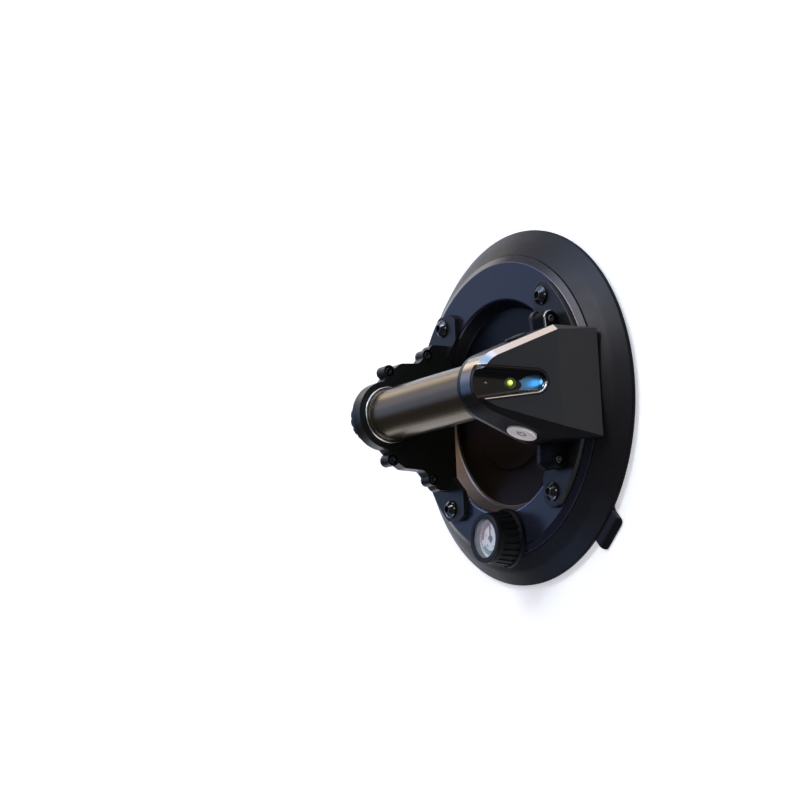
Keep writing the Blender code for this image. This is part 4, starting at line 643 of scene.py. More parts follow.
    def joined(self, *lumps: "Form") -> "Form":
        """Adds other forms to this one, as one body."""
        return self.combined(lumps, "UNION")

    def placed(
            self, name: str, finish: Finish, body: str = ROOT, stands_for: Sequence[str] = (),
            edge: float = 0.0, segments: int = 3, smooth: float = 32.0) -> bpy.types.Object:
        """Makes the finished piece.

        Args:
            name: The piece's name.
            finish: What it is dressed in.
            body: The body that it rides on.
            stands_for: The frame's nodes that it replaces.
            edge: The width of the rounding on its sharp edges.
            segments: The rounding's segments.
            smooth: The angle in degrees up to which the shading is smooth.

        Returns:
            The new object.
        """
        mesh = bpy.data.meshes.new(name)
        self.shape.to_mesh(mesh)
        self.shape.free()
        piece = bpy.data.objects.new(name, mesh)
        bpy.context.scene.collection.objects.link(piece)
        mesh.shade_smooth()
        mesh.set_sharp_from_angle(angle=math.radians(smooth))
        if edge > 0.0:
            rounding = piece.modifiers.new("rounding", "BEVEL")
            rounding.width = edge
            rounding.segments = segments
            rounding.limit_method = "ANGLE"
            rounding.angle_limit = math.radians(smooth)
            rounding.miter_outer = "MITER_ARC"
        flats = piece.modifiers.new("flats", "WEIGHTED_NORMAL")
        flats.keep_sharp = True
        finish.put_on(piece)
        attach(piece, body)
        if stands_for:
            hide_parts(*stands_for)
        LOG.info("%s: %d points on %s", name, len(mesh.vertices), body)
        return piece


@dataclass
class Pad:
    """The rubber pad with its sealing lip and pull tab, and the dished plate on it."""

    radius: float = 0.127
    lip_outer: float = 0.1225
    lip_inner: float = 0.1075
    chamber: float = 0.0034
    shoulder: float = 0.0181
    rim_start: float = 0.1252
    web_top: float = 0.0069
    groove_places: tuple[float, ...] = (0.1110, 0.1150, 0.1190)
    groove_half: float = 0.0006
    groove_depth: float = 0.0005
    tab_turn: float = math.radians(-47)
    tab_half: float = 0.0135
    tab_reach: float = 0.0106
    tab_top: float = 0.0036
    tab_slope: float = 0.0046
    tab_end: float = 0.0025
    tab_edge: float = 0.0009
    insert_floor: float = 0.0077
    recess_top: float = 0.0057
    plate_radius: float = 0.1075
    plate_edge: float = 0.1027
    plate_skirt: float = 0.0190
    plate_low: float = 0.0184
    plate_top: float = 0.0216
    dish_radius: float = 0.0752
    dish_floor: float = 0.0100
    dish_wall: float = 0.0028
    dish_lip: float = 0.0006
    dish_foot: float = 0.0035
    edge_round: float = 0.0022
    rim_round: float = 0.0024
    hub_radius: float = 0.044
    hub_top: float = 0.0122
    holes: tuple[tuple[float, float, float], ...] = (
        (-0.0618, 0.0674, 0.0055), (-0.0618, -0.0674, 0.0055), (0.0618, 0.0674, 0.0055),
        (0.0618, -0.0674, 0.0055), (0.0845, 0.024, 0.0050), (0.0025, -0.094, 0.0050))
    filter_radius: float = 0.0083

    def rubber_profile(self) -> list[Point]:
        """Gives the rubber's profile, from the dish's web over the rim to the chamber.

        Returns:
            The points (radius, height) in order.
        """
        corners = [
            (0.0, self.web_top, 0.0), (0.0761, self.web_top, 0.0008),
            (0.0796, self.shoulder, 0.0005),
            (0.10825, self.shoulder, 0.0010), (0.1175, 0.0122, 0.03), (0.12705, 0.00450, 0.0016),
            (0.12690, 0.0024, 0.0005),
            (self.lip_outer, 0.0, 0.0006)]
        for place in reversed(self.groove_places):
            corners += [
                (place + self.groove_half, 0.0, 0.0002),
                (place + self.groove_half / 2, self.groove_depth, 0.0),
                (place - self.groove_half / 2, self.groove_depth, 0.0),
                (place - self.groove_half, 0.0, 0.0002)]
        corners += [
            (self.lip_inner, 0.0, 0.0006), (self.lip_inner, self.chamber, 0.0010),
            (0.0, self.chamber, 0.0)]
        return rounded(corners, closed=False, steps=5)

    def tab(self) -> Form:
        """Makes the pull tab, which thins towards its end.

        Returns:
            The tab in its place.
        """
        root, end = self.radius - 0.007, self.radius + self.tab_reach
        outline = rounded([
            (root, -self.tab_half - 0.004, 0.0), (self.radius - 0.0005, -self.tab_half, 0.004),
            (end, -self.tab_half, 0.0036), (end, self.tab_half, 0.0036),
            (self.radius - 0.0005, self.tab_half, 0.004), (root, self.tab_half + 0.004, 0.0)])
        tab = Form.sheet(outline, GAP, self.tab_top)
        tab.sliced(
            Vector((end - self.tab_slope, 0.0, self.tab_top)),
            Vector((0.45, 0.0, 0.89)).normalized())
        tab.edged(lambda edge: min(point.co.z for point in edge.verts) > 0.0008, self.tab_edge, 4)
        return tab.turned_by(Matrix.Rotation(self.tab_turn, 4, "Z"))

    def bores(self, low: float, high: float) -> list[Form]:
        """Makes the cutters of the holes that the plate and the rubber share."""
        return [Form.rod(radius, low, high).moved(x, y) for x, y, radius in self.holes]

    def build_rubber(self) -> None:
        """Makes the rubber pad."""
        pad = Form.turned(self.rubber_profile(), FINE).joined(self.tab())
        inserts = [Form.rod(r, self.insert_floor, 0.03).moved(x, y) for x, y, r in self.holes[:4]]
        ports = [Form.rod(r, -0.01, 0.03).moved(x, y) for x, y, r in self.holes[4:]]
        recess = Form.rod(self.filter_radius, 0.0, self.recess_top).moved(*self.holes[4][:2])
        pad.carved(*inserts, *ports, recess)
        piece = pad.placed("rubber_pad", PAD_RUBBER, stands_for=["pad_rubber"], smooth=40.0)
        # Painted shade on the pad's outer rim and the tab's end
        PAD_RIM_SHADE.put_on_faces(piece, lambda face: self.rim_start < math.hypot(*face.center[:2]) < (
            self.radius + TINY) or (
                math.hypot(*face.center[:2]) > self.radius + self.tab_reach - self.tab_end))

    def build_plate(self) -> None:
        """Makes the dished plate with its raised disc."""
        top, low, wall = self.plate_top, self.plate_low, self.dish_wall
        inner = self.dish_radius - self.dish_foot
        corners = [
            (0.0, self.hub_top, 0.0), (self.hub_radius, self.hub_top, 0.0007),
            (self.hub_radius + 0.0012, self.dish_floor, 0.0009), (inner, self.dish_floor, 0.0028),
            (self.dish_radius + self.dish_lip, top, self.rim_round),
            (self.plate_edge, top, self.edge_round),
            (self.plate_radius, self.plate_skirt, 0.0003),
            (self.plate_radius, low, 0.0002), (self.dish_radius + wall, low, 0.0004),
            (inner + wall, self.dish_floor - wall, 0.0018), (0.0, self.dish_floor - wall, 0.0)]
        plate = Form.turned(
            rounded(corners, closed=False, steps=7), FINE).carved(*self.bores(-0.01, 0.04))
        piece = plate.placed(
            "dished_plate", PLATE_ENAMEL, stands_for=["mounting_plate"], smooth=40.0)

        def on_dish(face: bpy.types.MeshPolygon) -> bool:
            """Tells whether a face belongs to the dish."""
            return math.hypot(*face.center[:2]) < self.dish_radius - 0.0004 and (
                self.dish_floor - TINY < face.center.z < top - 0.0010)

        def on_highlit_low_wall(face: bpy.types.MeshPolygon) -> bool:
            """Tells whether a face belongs to the dish's wall on the gauge's side, which gets a
            painted highlight.
            """
            return on_dish(face) and face.center.y < 0.0 and (
                math.hypot(*face.center[:2]) > inner - 0.0015 and face.normal.z < 0.97)

        def on_edge_highlight(face: bpy.types.MeshPolygon) -> bool:
            """Tells whether a face belongs to the plate's outer edge, which gets a painted
            highlight.

            Args:
                face: A face of the plate.

            Returns:
                True if it does.
            """
            reach = math.hypot(*face.center[:2])
            return face.center.z > top - 0.0014 and 0.60 < face.normal.z < 0.998 and (
                abs(reach - self.plate_edge) < 0.0010)

        def on_rim_reflection(face: bpy.types.MeshPolygon) -> bool:
            """Tells whether a face belongs to the dish's rim on the gauge's side, which gets a
            painted reflection.

            Args:
                face: A face of the plate.

            Returns:
                True if it does.
            """
            reach = math.hypot(*face.center[:2])
            return face.center.z > top - 0.0014 and 0.60 < face.normal.z < 0.998 and (
                abs(reach - self.dish_radius - 0.0008) < 0.0014 and face.center.y < 0.01)

        # The dish gets the darker enamel: painted shade, with a painted brown reflection towards -Y
        DISH_PAINTED_SHADE.put_on_faces(piece, on_dish)
        # Painted highlight on the dish wall towards -Y
        DISH_WALL_HIGHLIGHT.put_on_faces(piece, on_highlit_low_wall)
        # Painted highlight along the plate's outer edge
        PLATE_EDGE_HIGHLIGHT.put_on_faces(piece, on_edge_highlight)
        # Painted reflection on the dish rim towards -Y
        RIM_REFLECTION.put_on_faces(piece, on_rim_reflection)


@dataclass
class SocketScrew:
    """A screw with a rounded head and a hexagon socket."""

    head_radius: float
    head_height: float
    shank_radius: float
    length: float
    flats: float
    socket_depth: float
    flat_share: float = 0.5
    washer: float = 0.0005

    def form(self) -> Form:
        """Makes the screw with its head on Z = 0 and its shank downwards.

        Returns:
            The screw.
        """
        radius, height = self.head_radius, self.head_height
        corners = [
            (0.0, height, 0.0), (radius * self.flat_share, height, radius * 0.12),
            (radius * 0.90, height * 0.46, radius * 0.42), (radius, self.washer * 2, 0.0003),
            (radius, 0.0, 0.0002), (self.shank_radius, 0.0, 0.0),
            (self.shank_radius, -self.length, 0.0003), (0.0, -self.length, 0.0)]
        screw = Form.turned(rounded(corners, closed=False, steps=6), SMALL)
        socket = Form.rod(
            self.flats / math.sqrt(3), height - self.socket_depth, height + OVERCUT, steps=6)
        return screw.carved(socket)


@dataclass
class Brackets:
    """The far bracket with its cover and the near bracket, with their screws."""

    foot_x: float = 0.0618
    foot_y: float = 0.0674
    foot_screw: SocketScrew = field(default_factory=lambda: SocketScrew(
        0.0064, 0.0041, 0.0039, 0.015, 0.005, 0.0022))
    joining_screw: SocketScrew = field(default_factory=lambda: SocketScrew(
        0.0036, 0.0023, 0.0019, 0.0075, 0.003, 0.0013, flat_share=0.7, washer=0.0002))
    flange_low: float = 0.0219
    flange_top: float = 0.0256
    toe_outer: float = 0.0765
    toe_start: float = 0.0565
    toe_chamfer: float = 0.0075
    heel_half: float = 0.0445
    far_face: float = -0.058
    far_split: float = -0.064
    far_back: float = -0.0688
    bosses: tuple[Point, ...] = ((0.0322, 0.0762), (0.0458, 0.0422))
    boss_radius: float = 0.0047
    head_recess: float = 0.0029
    collar_radius: float = 0.0249
    grip_height: float = 0.078
    tube_radius: float = 0.0188
    near_face: float = 0.062
    near_thickness: float = 0.004
    near_flange: float = 0.1022
    near_toe: float = 0.0515
    far_toe: float = 0.0455
    far_flange: float = 0.101
    far_heel: float = 0.0865
    screw_hole: float = 0.0022
    screw_recess: float = 0.0039
    foot_hole: float = 0.0042
    port_radius: float = 0.0050
    port_place: Point = (0.0845, 0.024)
    edge: float = 0.0005

    def foot_outline(
            self, toe_inner: float, flange: float, back: float, inner_x: float) -> list[Point]:
        """Gives the outline of a base flange with two feet, on the +X side.

        Args:
            toe_inner: The X value of the feet's inner side.
            flange: The radius of the flange's outer edge.
            back: The X value at which the outer edge becomes straight.
            inner_x: The X value of the flange's inner side.

        Returns:
            The closed outline.
        """
        first = math.acos((self.foot_x + self.toe_chamfer / 2) / flange)
        last = math.acos(min(1.0, back / flange))
        half = [
            (inner_x, self.heel_half, 0.0), (toe_inner, self.toe_start, 0.004),
            (toe_inner, self.toe_outer - self.toe_chamfer / 2, 0.003)]
        rim = plain(arc((0.0, 0.0), flange, first, last, 28))
        half += [(toe_inner + self.toe_chamfer, flange * math.sin(first), 0.001)] + rim[1:]
        return rounded(half + [(x, -y, radius) for x, y, radius in reversed(half) if y > TINY])

    def far_outline(self, bottom: float) -> list[Point]:
        """Gives the far bracket's outline across the grip.

        Args:
            bottom: The height of its foot.

        Returns:
            The closed outline (y, z).
        """
        half = [
            (0.054, bottom, 0.0), (0.054, 0.0385, 0.004), (0.0395, 0.050, 0.005),
            (0.0385, 0.066, 0.003),
            (0.034, 0.073, 0.003)]
        half += plain(
            arc((0.0, self.grip_height), self.collar_radius, math.radians(8), math.pi / 2, 24))
        return rounded(mirrored(half))

    def boss_places(self) -> list[Point]:
        """Gives the far bracket's four boss places (y, z)."""
        return [(side * y, z) for y, z in self.bosses for side in (1, -1)]

    def boss_forms(self, back: float, front: float, recess: bool) -> tuple[list[Form], list[Form]]:
        """Makes the bosses between two X values, and the cutters of their holes.

        Args:
            back: The X value of the bosses' back.
            front: The X value of their front.
            recess: Whether the holes have room for the screws' heads.

        Returns:
            The bosses, and the cutters.
        """
        lumps, cutters = [], []
        for y, z in self.boss_places():
            lumps.append(Form.rod(self.boss_radius, back, front).turned_by(TO_X).moved(0, y, z))
            cutters.append(Form.rod(
                self.screw_hole, back - OVERCUT, front + OVERCUT).turned_by(TO_X).moved(0, y, z))
            if recess:
                cutters.append(Form.rod(
                    self.screw_recess, front - self.head_recess,
                    front + OVERCUT).turned_by(TO_X).moved(0, y, z))
        return lumps, cutters

    def tube_bore(self, low: float, high: float) -> Form:
        """Makes the cutter of the tube's bore."""
        return Form.rod(self.tube_radius + GAP, low, high, ROUND).turned_by(TO_X).moved(
            0, 0, self.grip_height)

    def foot_holes(self, sign: int) -> list[Form]:
        """Makes the cutters of a bracket's two foot screw holes.

        Args:
            sign: 1 for the near feet, -1 for the far feet.

        Returns:
            The two cutters.
        """
        return [
            Form.rod(self.foot_hole, 0.0, 0.04).moved(sign * self.foot_x, side * self.foot_y)
            for side in (1, -1)]

    def build_far(self) -> None:
        """Makes the far bracket and its cover."""
        outline = [(-x, y) for x, y in self.foot_outline(
            self.far_toe, self.far_flange, self.far_heel, -self.far_face)]
        bracket = Form.sheet(outline, self.flange_low, self.flange_top)
        wall = Form.sheet(
            self.far_outline((self.flange_low + self.flange_top) / 2), self.far_split,
            self.far_face).turned_by(ACROSS)
        lumps, cutters = self.boss_forms(self.far_split, self.far_face, recess=True)
        bracket.joined(wall, *lumps)
        bracket.carved(
            self.tube_bore(self.far_split - OVERCUT, self.far_face + OVERCUT), *cutters,
            *self.foot_holes(-1))
        bracket.placed(
            "far_bracket_moulding", OLIVE_NYLON, stands_for=["far_bracket"], edge=self.edge)

        split = self.far_split - GAP
        cover = Form.sheet(
            self.far_outline(self.flange_top + GAP), self.far_back, split).turned_by(ACROSS)
        lumps, cutters = self.boss_forms(self.far_back, split, recess=False)
        cover.joined(*lumps)
        cover.carved(self.tube_bore(self.far_back - OVERCUT, split + OVERCUT), *cutters)
        cover.placed(
            "far_cover_moulding", BLACK_NYLON, stands_for=["far_bracket_cover"], edge=self.edge)

    def build_near(self, wall_outline: Sequence[Point], lugs: Sequence[Point]) -> None:
        """Makes the near bracket.

        Args:
            wall_outline: The outline of its wall across the grip.
            lugs: The places (y, z) of the holes in its ears.
        """
        outline = self.foot_outline(
            self.near_toe, self.near_flange, self.near_flange, self.near_face - OVERCUT)
        bracket = Form.sheet(outline, self.flange_low, self.flange_top)
        high = self.near_face + self.near_thickness
        bracket.joined(Form.sheet(wall_outline, self.near_face, high).turned_by(ACROSS))
        holes = [
            Form.rod(self.screw_hole, self.near_face - OVERCUT, high + OVERCUT).turned_by(
                TO_X).moved(0, y, z)
            for y, z in lugs]
        port = Form.rod(self.port_radius, 0.0, 0.04).moved(*self.port_place)
        bracket.carved(
            self.tube_bore(self.near_face - OVERCUT, high + OVERCUT), port, *holes,
            *self.foot_holes(1))
        bracket.placed(
            "near_bracket_moulding", OLIVE_NYLON, stands_for=["near_bracket"], edge=self.edge)

    def build_screws(self) -> None:
        """Makes the foot screws and the far bracket's joining screws."""
        seat = self.flange_top + GAP
        places = [
            (along * self.foot_x, across * self.foot_y) for along in (-1, 1) for across in (1, -1)]
        for number, (x, y) in enumerate(places, start=1):
            twist = Matrix.Rotation(math.radians(17 * number), 4, "Z")
            self.foot_screw.form().turned_by(twist).moved(x, y, seat).placed(
                f"foot_socket_screw_{number}", BLACK_STEEL, stands_for=[f"foot_screw_{number}"])
        for number, (y, z) in enumerate(self.boss_places(), start=1):
            self.joining_screw.form().turned_by(TO_X).moved(
                self.far_face - self.head_recess + GAP, y, z).placed(
                f"far_socket_screw_{number}", BLACK_STEEL,
                stands_for=[f"far_joining_screw_{number}"])


@dataclass
class Housing:
    """The pump housing with its thumb slot, lamps, ears and screws."""

    start: float = 0.0663
    half_width: float = 0.0365
    knee: float = 0.047
    grip_height: float = 0.078
    top_radius: float = 0.0216
    wall: float = 0.0024
    bottom: float = 0.0186
    swell: float = 0.0018
    lit_border: float = 0.0036
    thin_border: float = 0.0016
    low_border: float = 0.0070
    inner_chamfer: float = 0.0045
    foot_chamfer: float = 0.0006
    knee_round: float = 0.003
    end_knee: float = 0.105
    end_top: Point = (0.085, 0.100)
    end_foot: float = 0.1105
    lug_spread: float = 0.0478
    lug_height: float = 0.0318
    lug_radius: float = 0.0060
    lug_root: float = 0.0050
    lug_round: float = 0.0012
    lug_length: float = 0.0135
    head_recess: float = 0.0029
    screw_hole: float = 0.0022
    screw_recess: float = 0.0039
    plate_room: float = 0.1078
    room_top: float = 0.0259
    edge: float = 0.0004
    roof_share: float = 0.6
    lamp_dome: float = 0.5
    lamp_heart: float = 0.72
    rim_width: float = 0.0021
    rim_height: float = 0.00035
    slot_low_end: float = 0.0073
    slot_low_half: float = 0.009
    slot_top_half: float = 0.0128
    slot_drop: float = 0.0014
    slot_run: float = 0.064
    panel_depth: float = 0.007
    lip: float = 0.0028
    scoop_depth: float = 0.0048
    scoop_ramp: float = 0.0215
    scoop_upper: float = 0.0072
    scoop_lower: float = 0.0024
    lamps: tuple[tuple[str, float, float], ...] = (
        ("status_lamp", 0.0324, 0.0019), ("warning_lamp", 0.0488, 0.0010))

    def lean(self) -> float:
        """Gives the angle by which the side walls lean in.

        Returns:
            The angle in radians.
        """
        rise = self.grip_height - self.knee
        reach = math.hypot(self.half_width, rise)
        return math.atan2(rise, -self.half_width) - math.asin(self.top_radius / reach) - math.pi / 2

    def face_normals(self) -> tuple[Vector, Vector]:
        """Gives the outward normals of the end face's upper and lower parts.

        Returns:
            The two normals.
        """
        upper = Vector((
            self.end_top[1] - self.knee, 0.0, self.end_knee - self.end_top[0])).normalized()
        lower = Vector((self.knee - self.bottom, 0.0, self.end_foot - self.end_knee)).normalized()
        return upper, lower

    def face_matrix(self) -> Matrix:
        """Gives the end face's matrix: Z leaves the face and X runs down it.

        Returns:
            The matrix.
        """
        upper = self.face_normals()[0]
        turn = Matrix.Rotation(math.atan2(upper.x, upper.z), 4, "Y")
        return Matrix.Translation((self.end_knee, 0.0, self.knee)) @ turn

    def lift(self, side: int) -> float:
        """Gives how far the wall on a side stands out from the plain form."""
        return self.swell * math.cos(self.lean()) if side > 0 else 0.0

    def seat_matrix(self, side: int, x: float, z: float) -> Matrix:
        """Gives the matrix of a button's seat: Z leaves the leaning wall.

        Args:
            side: 1 for the +Y wall, -1 for the -Y wall.
            x: The button's X value.
            z: The button's height.

        Returns:
            The matrix.
        """
        lean = self.lean()
        y = self.half_width - (z - self.knee) * math.tan(lean)
        turn = Matrix.Rotation(-side * (math.pi / 2 - lean), 4, "X")
        return Matrix.Translation((x, side * y, z)) @ turn @ Matrix.Translation(
            (0.0, 0.0, self.lift(side)))

    def lug_places(self) -> list[Point]:
        """Gives the two ears' places (y, z)."""
        return [(side * self.lug_spread, self.lug_height) for side in (1, -1)]

    def ear(self, root: float, side: int = 1) -> list[Point]:
        """Gives the outline of a screw ear from its root on the wall.

        Args:
            root: The ear's start, from the housing's middle.
            side: 1 for the +Y wall, -1 for the -Y wall.

        Returns:
            The outline (y, z).
        """
        tip = arc(
            (self.lug_spread, self.lug_height), self.lug_radius, -math.pi / 2, math.pi / 2, 24)
        half = [(root, self.lug_height - self.lug_root)] + tip + [
            (root, self.lug_height + self.lug_root)]
        return [(side * y, z) for y, z in half]

    def outline(self, inset: float, bottom: float, with_ears: bool = False) -> list[Point]:
        """Gives the housing's outline across the grip.

        Args:
            inset: How far inside the outer form it lies.
            bottom: The height of its foot.
            with_ears: Whether it has the screw ears.

        Returns:
            The closed outline.
        """
        lean = self.lean()
        half_width = self.half_width - inset
        half: list[Corner] = [(half_width, bottom, 0.0)]
        if with_ears:
            half += plain(self.ear(half_width))
        half.append((half_width, self.knee - inset * math.tan(lean / 2), self.knee_round))
        half += plain(arc((0.0, self.grip_height), self.top_radius - inset, lean, math.pi / 2, 28))
        return [
            (y + self.swell * min(1.0, max(0.0, y / self.top_radius))
             if z > self.lug_height else y, z)
            for y, z in rounded(mirrored(half), steps=8)]

    def border(self, y: float) -> float:
        """Gives the width of the end face's flat border at a place across the grip.

        Args:
            y: The place.

        Returns:
            The width.
        """
        middle = self.top_radius * 0.55
        if y > -middle:
            share = min(1.0, max(0.0, -y / middle))
            return self.lit_border + (self.thin_border - self.lit_border) * share
        share = min(1.0, (-y - middle) / (self.half_width - middle))
        return self.thin_border + (self.low_border - self.thin_border) * share

    def hull(self, inset: float, start: float, bottom: float) -> Form:
        """Makes the housing's outer form or its hollow, with the flat along the end face's border.

        Args:
            inset: How far inside the outer form it lies.
            start: The X value at which it begins.
            bottom: The height of its foot.

        Returns:
            The form, cut by the two planes of the end face.
        """
        far = 2 * self.end_foot
        planes = [
            (Vector((self.end_knee, 0.0, self.knee)) - normal * inset, normal)
            for normal in self.face_normals()]

        def face_x(z: float) -> float:
            """Gives the X value of the end face at a height."""
            return min(
                point.x - (z - point.z) * normal.z / normal.x for point, normal in planes)

        outer = self.outline(inset, bottom)
        widths = [self.foot_chamfer if z == bottom else self.border(y) for y, z in outer]
        if inset > self.wall / 2:
            widths = [min(width, self.inner_chamfer) for width in widths]
        inner = [self.outline(inset + width, bottom)[place] for place, width in enumerate(widths)]
        form = Form.strung([
            [(start, y, z) for y, z in outer],
            [(face_x(z) - width, y, z) for (y, z), width in zip(outer, widths)],
            [(face_x(z), y, z) for y, z in inner], [(far, y, z) for y, z in inner]])
        for point, normal in planes:
            form.sliced(point, normal)
        return form

    def slot_outline(
            self, grow: float, low_shift: float = 0.0, sideways: float = 0.0) -> list[Point]:
        """Gives the thumb slot's outline on the end face.

        Args:
            grow: How far it is grown, or drawn in.
            low_shift: How far its round low end is moved up the face.
            sideways: How far it is moved across the face.

        Returns:
            The closed outline.
        """
        low_half = self.slot_low_half + grow
        low_centre = (-(self.slot_low_end - grow + low_shift + low_half), sideways)
        top = self.slot_top_half + grow
        tip = arc(low_centre, low_half, -math.pi / 2, math.pi / 2, 33)
        return tip + [
            (-self.slot_run, top + sideways), (-self.slot_run, sideways - top - self.slot_drop)]

    def scoop(self) -> Form:
        """Makes the scoop's form: a round lip, a hollow, and a long ramp at its low end.

        Returns:
            The form, in the end face's own directions.
        """
        steps = 10
        quarter = [math.pi / 2 * step / steps for step in range(1, steps + 1)]
        loops = [(self.slot_outline(2 * GAP), OVERCUT), (self.slot_outline(2 * GAP), 0.0)]
        loops += [
            (self.slot_outline(-self.lip * math.sin(turn)),
             -self.lip * (1.0 - math.cos(turn)) * 0.8)
            for turn in quarter]
        side = (self.scoop_upper + self.scoop_lower) / 2
        drift = (self.scoop_lower - self.scoop_upper) / 2
        start = self.lip * 0.8
        for turn in quarter:
            share = 1.0 - math.cos(turn)
            loops.append((
                self.slot_outline(
                    -self.lip - side * share, (self.scoop_ramp - side) * share, drift * share),
                -start - (self.scoop_depth - start) * math.sin(turn)))
        return Form.loft(loops)

    def build_shell(self, button_holes: Sequence[Form]) -> None:
        """Makes the housing's shell.

        Args:
            button_holes: The cutters of the two buttons' holes.
        """
        shell = self.hull(0.0, self.start, self.bottom)
        high = self.start + self.lug_length
        root = self.half_width - self.wall / 2
        for side in (1, -1):
            ear = Form.sheet(self.ear(root, side), self.start, high).turned_by(ACROSS)
            ear.edged(lambda edge: all(
                point.co.x > high - TINY and abs(point.co.y) > root - TINY
                for point in edge.verts) and any(
                abs(point.co.y) > root + TINY for point in edge.verts), self.lug_round, 4)
            shell.joined(ear)
        shell.carved(self.hull(self.wall, self.start - OVERCUT, 0.0))
        holes = []
        for y, z in self.lug_places():
            holes.append(Form.rod(
                self.screw_hole, self.start - OVERCUT, high + OVERCUT).turned_by(TO_X).moved(0, y,
                z))
            holes.append(Form.rod(
                self.screw_recess, high - self.head_recess,
                high + OVERCUT).turned_by(TO_X).moved(0, y, z))
        face = self.face_matrix()
        depth = self.panel_depth + GAP
        slot = Form.sheet(self.slot_outline(0.0), -depth, 2 * OVERCUT).turned_by(face)
        foot = Form.rod(self.plate_room, 0.0, self.room_top, FINE)
        shell.carved(*holes, slot, foot, *button_holes)
        piece = shell.placed(
            "pump_housing_shell", CHARCOAL_SHELL, stands_for=["pump_housing"], edge=self.edge)
        upper = self.face_normals()[0]
        knee = Vector((self.end_knee, 0.0, self.knee))

        def on_border(face: bpy.types.MeshPolygon) -> bool:
            """Tells whether a face belongs to the end face's flat border.

            Args:
                face: A face of the shell.

            Returns:
                True if it does.
            """
            near = abs((face.center - knee).dot(upper)) < 2 * self.low_border
            above = face.center.z > self.knee or face.center.y < 0.0
            return near and above and face.center.x > self.start + self.wall and (
                0.50 < face.normal.dot(upper) < 0.92)

        def on_ear(face: bpy.types.MeshPolygon) -> bool:
            """Tells whether a face belongs to a screw ear."""
            return abs(face.center.y) > self.half_width + self.swell and face.center.z < self.knee

        def on_ear_rim(face: bpy.types.MeshPolygon) -> bool:
            """Tells whether a face belongs to an ear's round rim."""
            return on_ear(face) and (
                abs(face.center.x - high) < self.lug_round and abs(face.normal.x) < 0.98)

        def on_roof(face: bpy.types.MeshPolygon) -> bool:
            """Tells whether a face belongs to the band over the housing's round top.

            Args:
                face: A face of the shell.

            Returns:
                True if it does.
            """
            return face.center.z > self.grip_height + turn and (
                abs(face.normal.x) < 0.2 and face.normal.z > 0.3 and face.center.y > -turn)

        def on_shaded_wall(face: bpy.types.MeshPolygon) -> bool:
            """Tells whether a face belongs to the leaning wall on the button's side, which gets
            painted shade.
            """
            return face.center.y < -turn and face.normal.y < -0.5 and abs(face.normal.x) < 0.2

        turn = self.top_radius * self.roof_share
        # Painted highlight on the border and the round top, with painted shade on its -Y part
        BORDER_HIGHLIGHT.put_on_faces(
            piece, lambda face: on_roof(face) or on_border(face) and face.center.y > -turn)
        # Painted shade on the ears, the wall on the button's side and the border's -Y part
        SHADE_BLACK.put_on_faces(piece, lambda face: on_ear(face) or on_shaded_wall(face) or (
            on_border(face) and face.center.y <= -turn))
        # Painted highlight on the rim of the +Y ear only
        BORDER_HIGHLIGHT.put_on_faces(piece, lambda face: on_ear_rim(face) and face.center.y > 0.0)

    def build_panel(self) -> None:
        """Makes the scooped panel in the slot and its lamps."""
        face = self.face_matrix()
        panel = Form.sheet(self.slot_outline(-GAP), -self.panel_depth, -GAP).turned_by(face)
        panel.combined([self.hull(GAP, self.start, self.bottom)], "INTERSECT")
        holes = [
            Form.rod(radius + GAP, -self.panel_depth - OVERCUT, 0.0).moved(-run, 0).turned_by(face)
            for _name, run, radius in self.lamps]
        panel.carved(self.scoop().turned_by(face), *holes)
        piece = panel.placed(
            "scooped_panel", GLOSS_BLACK, stands_for=["indicator_panel"], smooth=50.0)
        back = face.inverted()

        def on_lip(item: bpy.types.MeshPolygon) -> bool:
            """Tells whether a face belongs to the lower side of the slot's round lip, which gets a
            painted highlight.

            Args:
                item: A face of the panel.

            Returns:
                True if it does.
            """
            place, normal = back @ item.center, back.to_3x3() @ item.normal
            low, steep = (0.95, 0.05) if place.x < -self.slot_run / 2 else (0.75, 0.15)
            return place.z > -self.lip * low and steep < normal.z < 0.975 and place.y < 0.003 and (
                normal.y > 0.1 or (place.y < 0.0 and normal.y > -0.1))

        def on_shade(item: bpy.types.MeshPolygon) -> bool:
            """Tells whether a face belongs to the scoop's steep upper side, which gets painted
            shade.

            Args:
                item: A face of the panel.

            Returns:
                True if it does.
            """
            place, normal = back @ item.center, back.to_3x3() @ item.normal
            return place.y > 0.002 and normal.y < -0.12 and normal.z > 0.02 and place.z < -TINY

        def on_ramp(item: bpy.types.MeshPolygon) -> bool:
            """Tells whether a face belongs to the scoop's long ramp, which gets a painted blue
            reflection.

            Args:
                item: A face of the panel.

            Returns:
                True if it does.
            """
            place, normal = back @ item.center, back.to_3x3() @ item.normal
            ramp_end = self.slot_low_end + self.lip + self.scoop_ramp
            return place.x > -ramp_end and place.z < -self.lip * 0.3 and (
                normal.x < -0.03 and normal.z > 0.4 and abs(normal.y) < 0.25)

        # Painted shade on the scoop's steep upper side
        SHADE_BLACK.put_on_faces(piece, on_shade)
        # Painted highlight on the slot's lower lip
        LIP_HIGHLIGHT.put_on_faces(piece, on_lip)
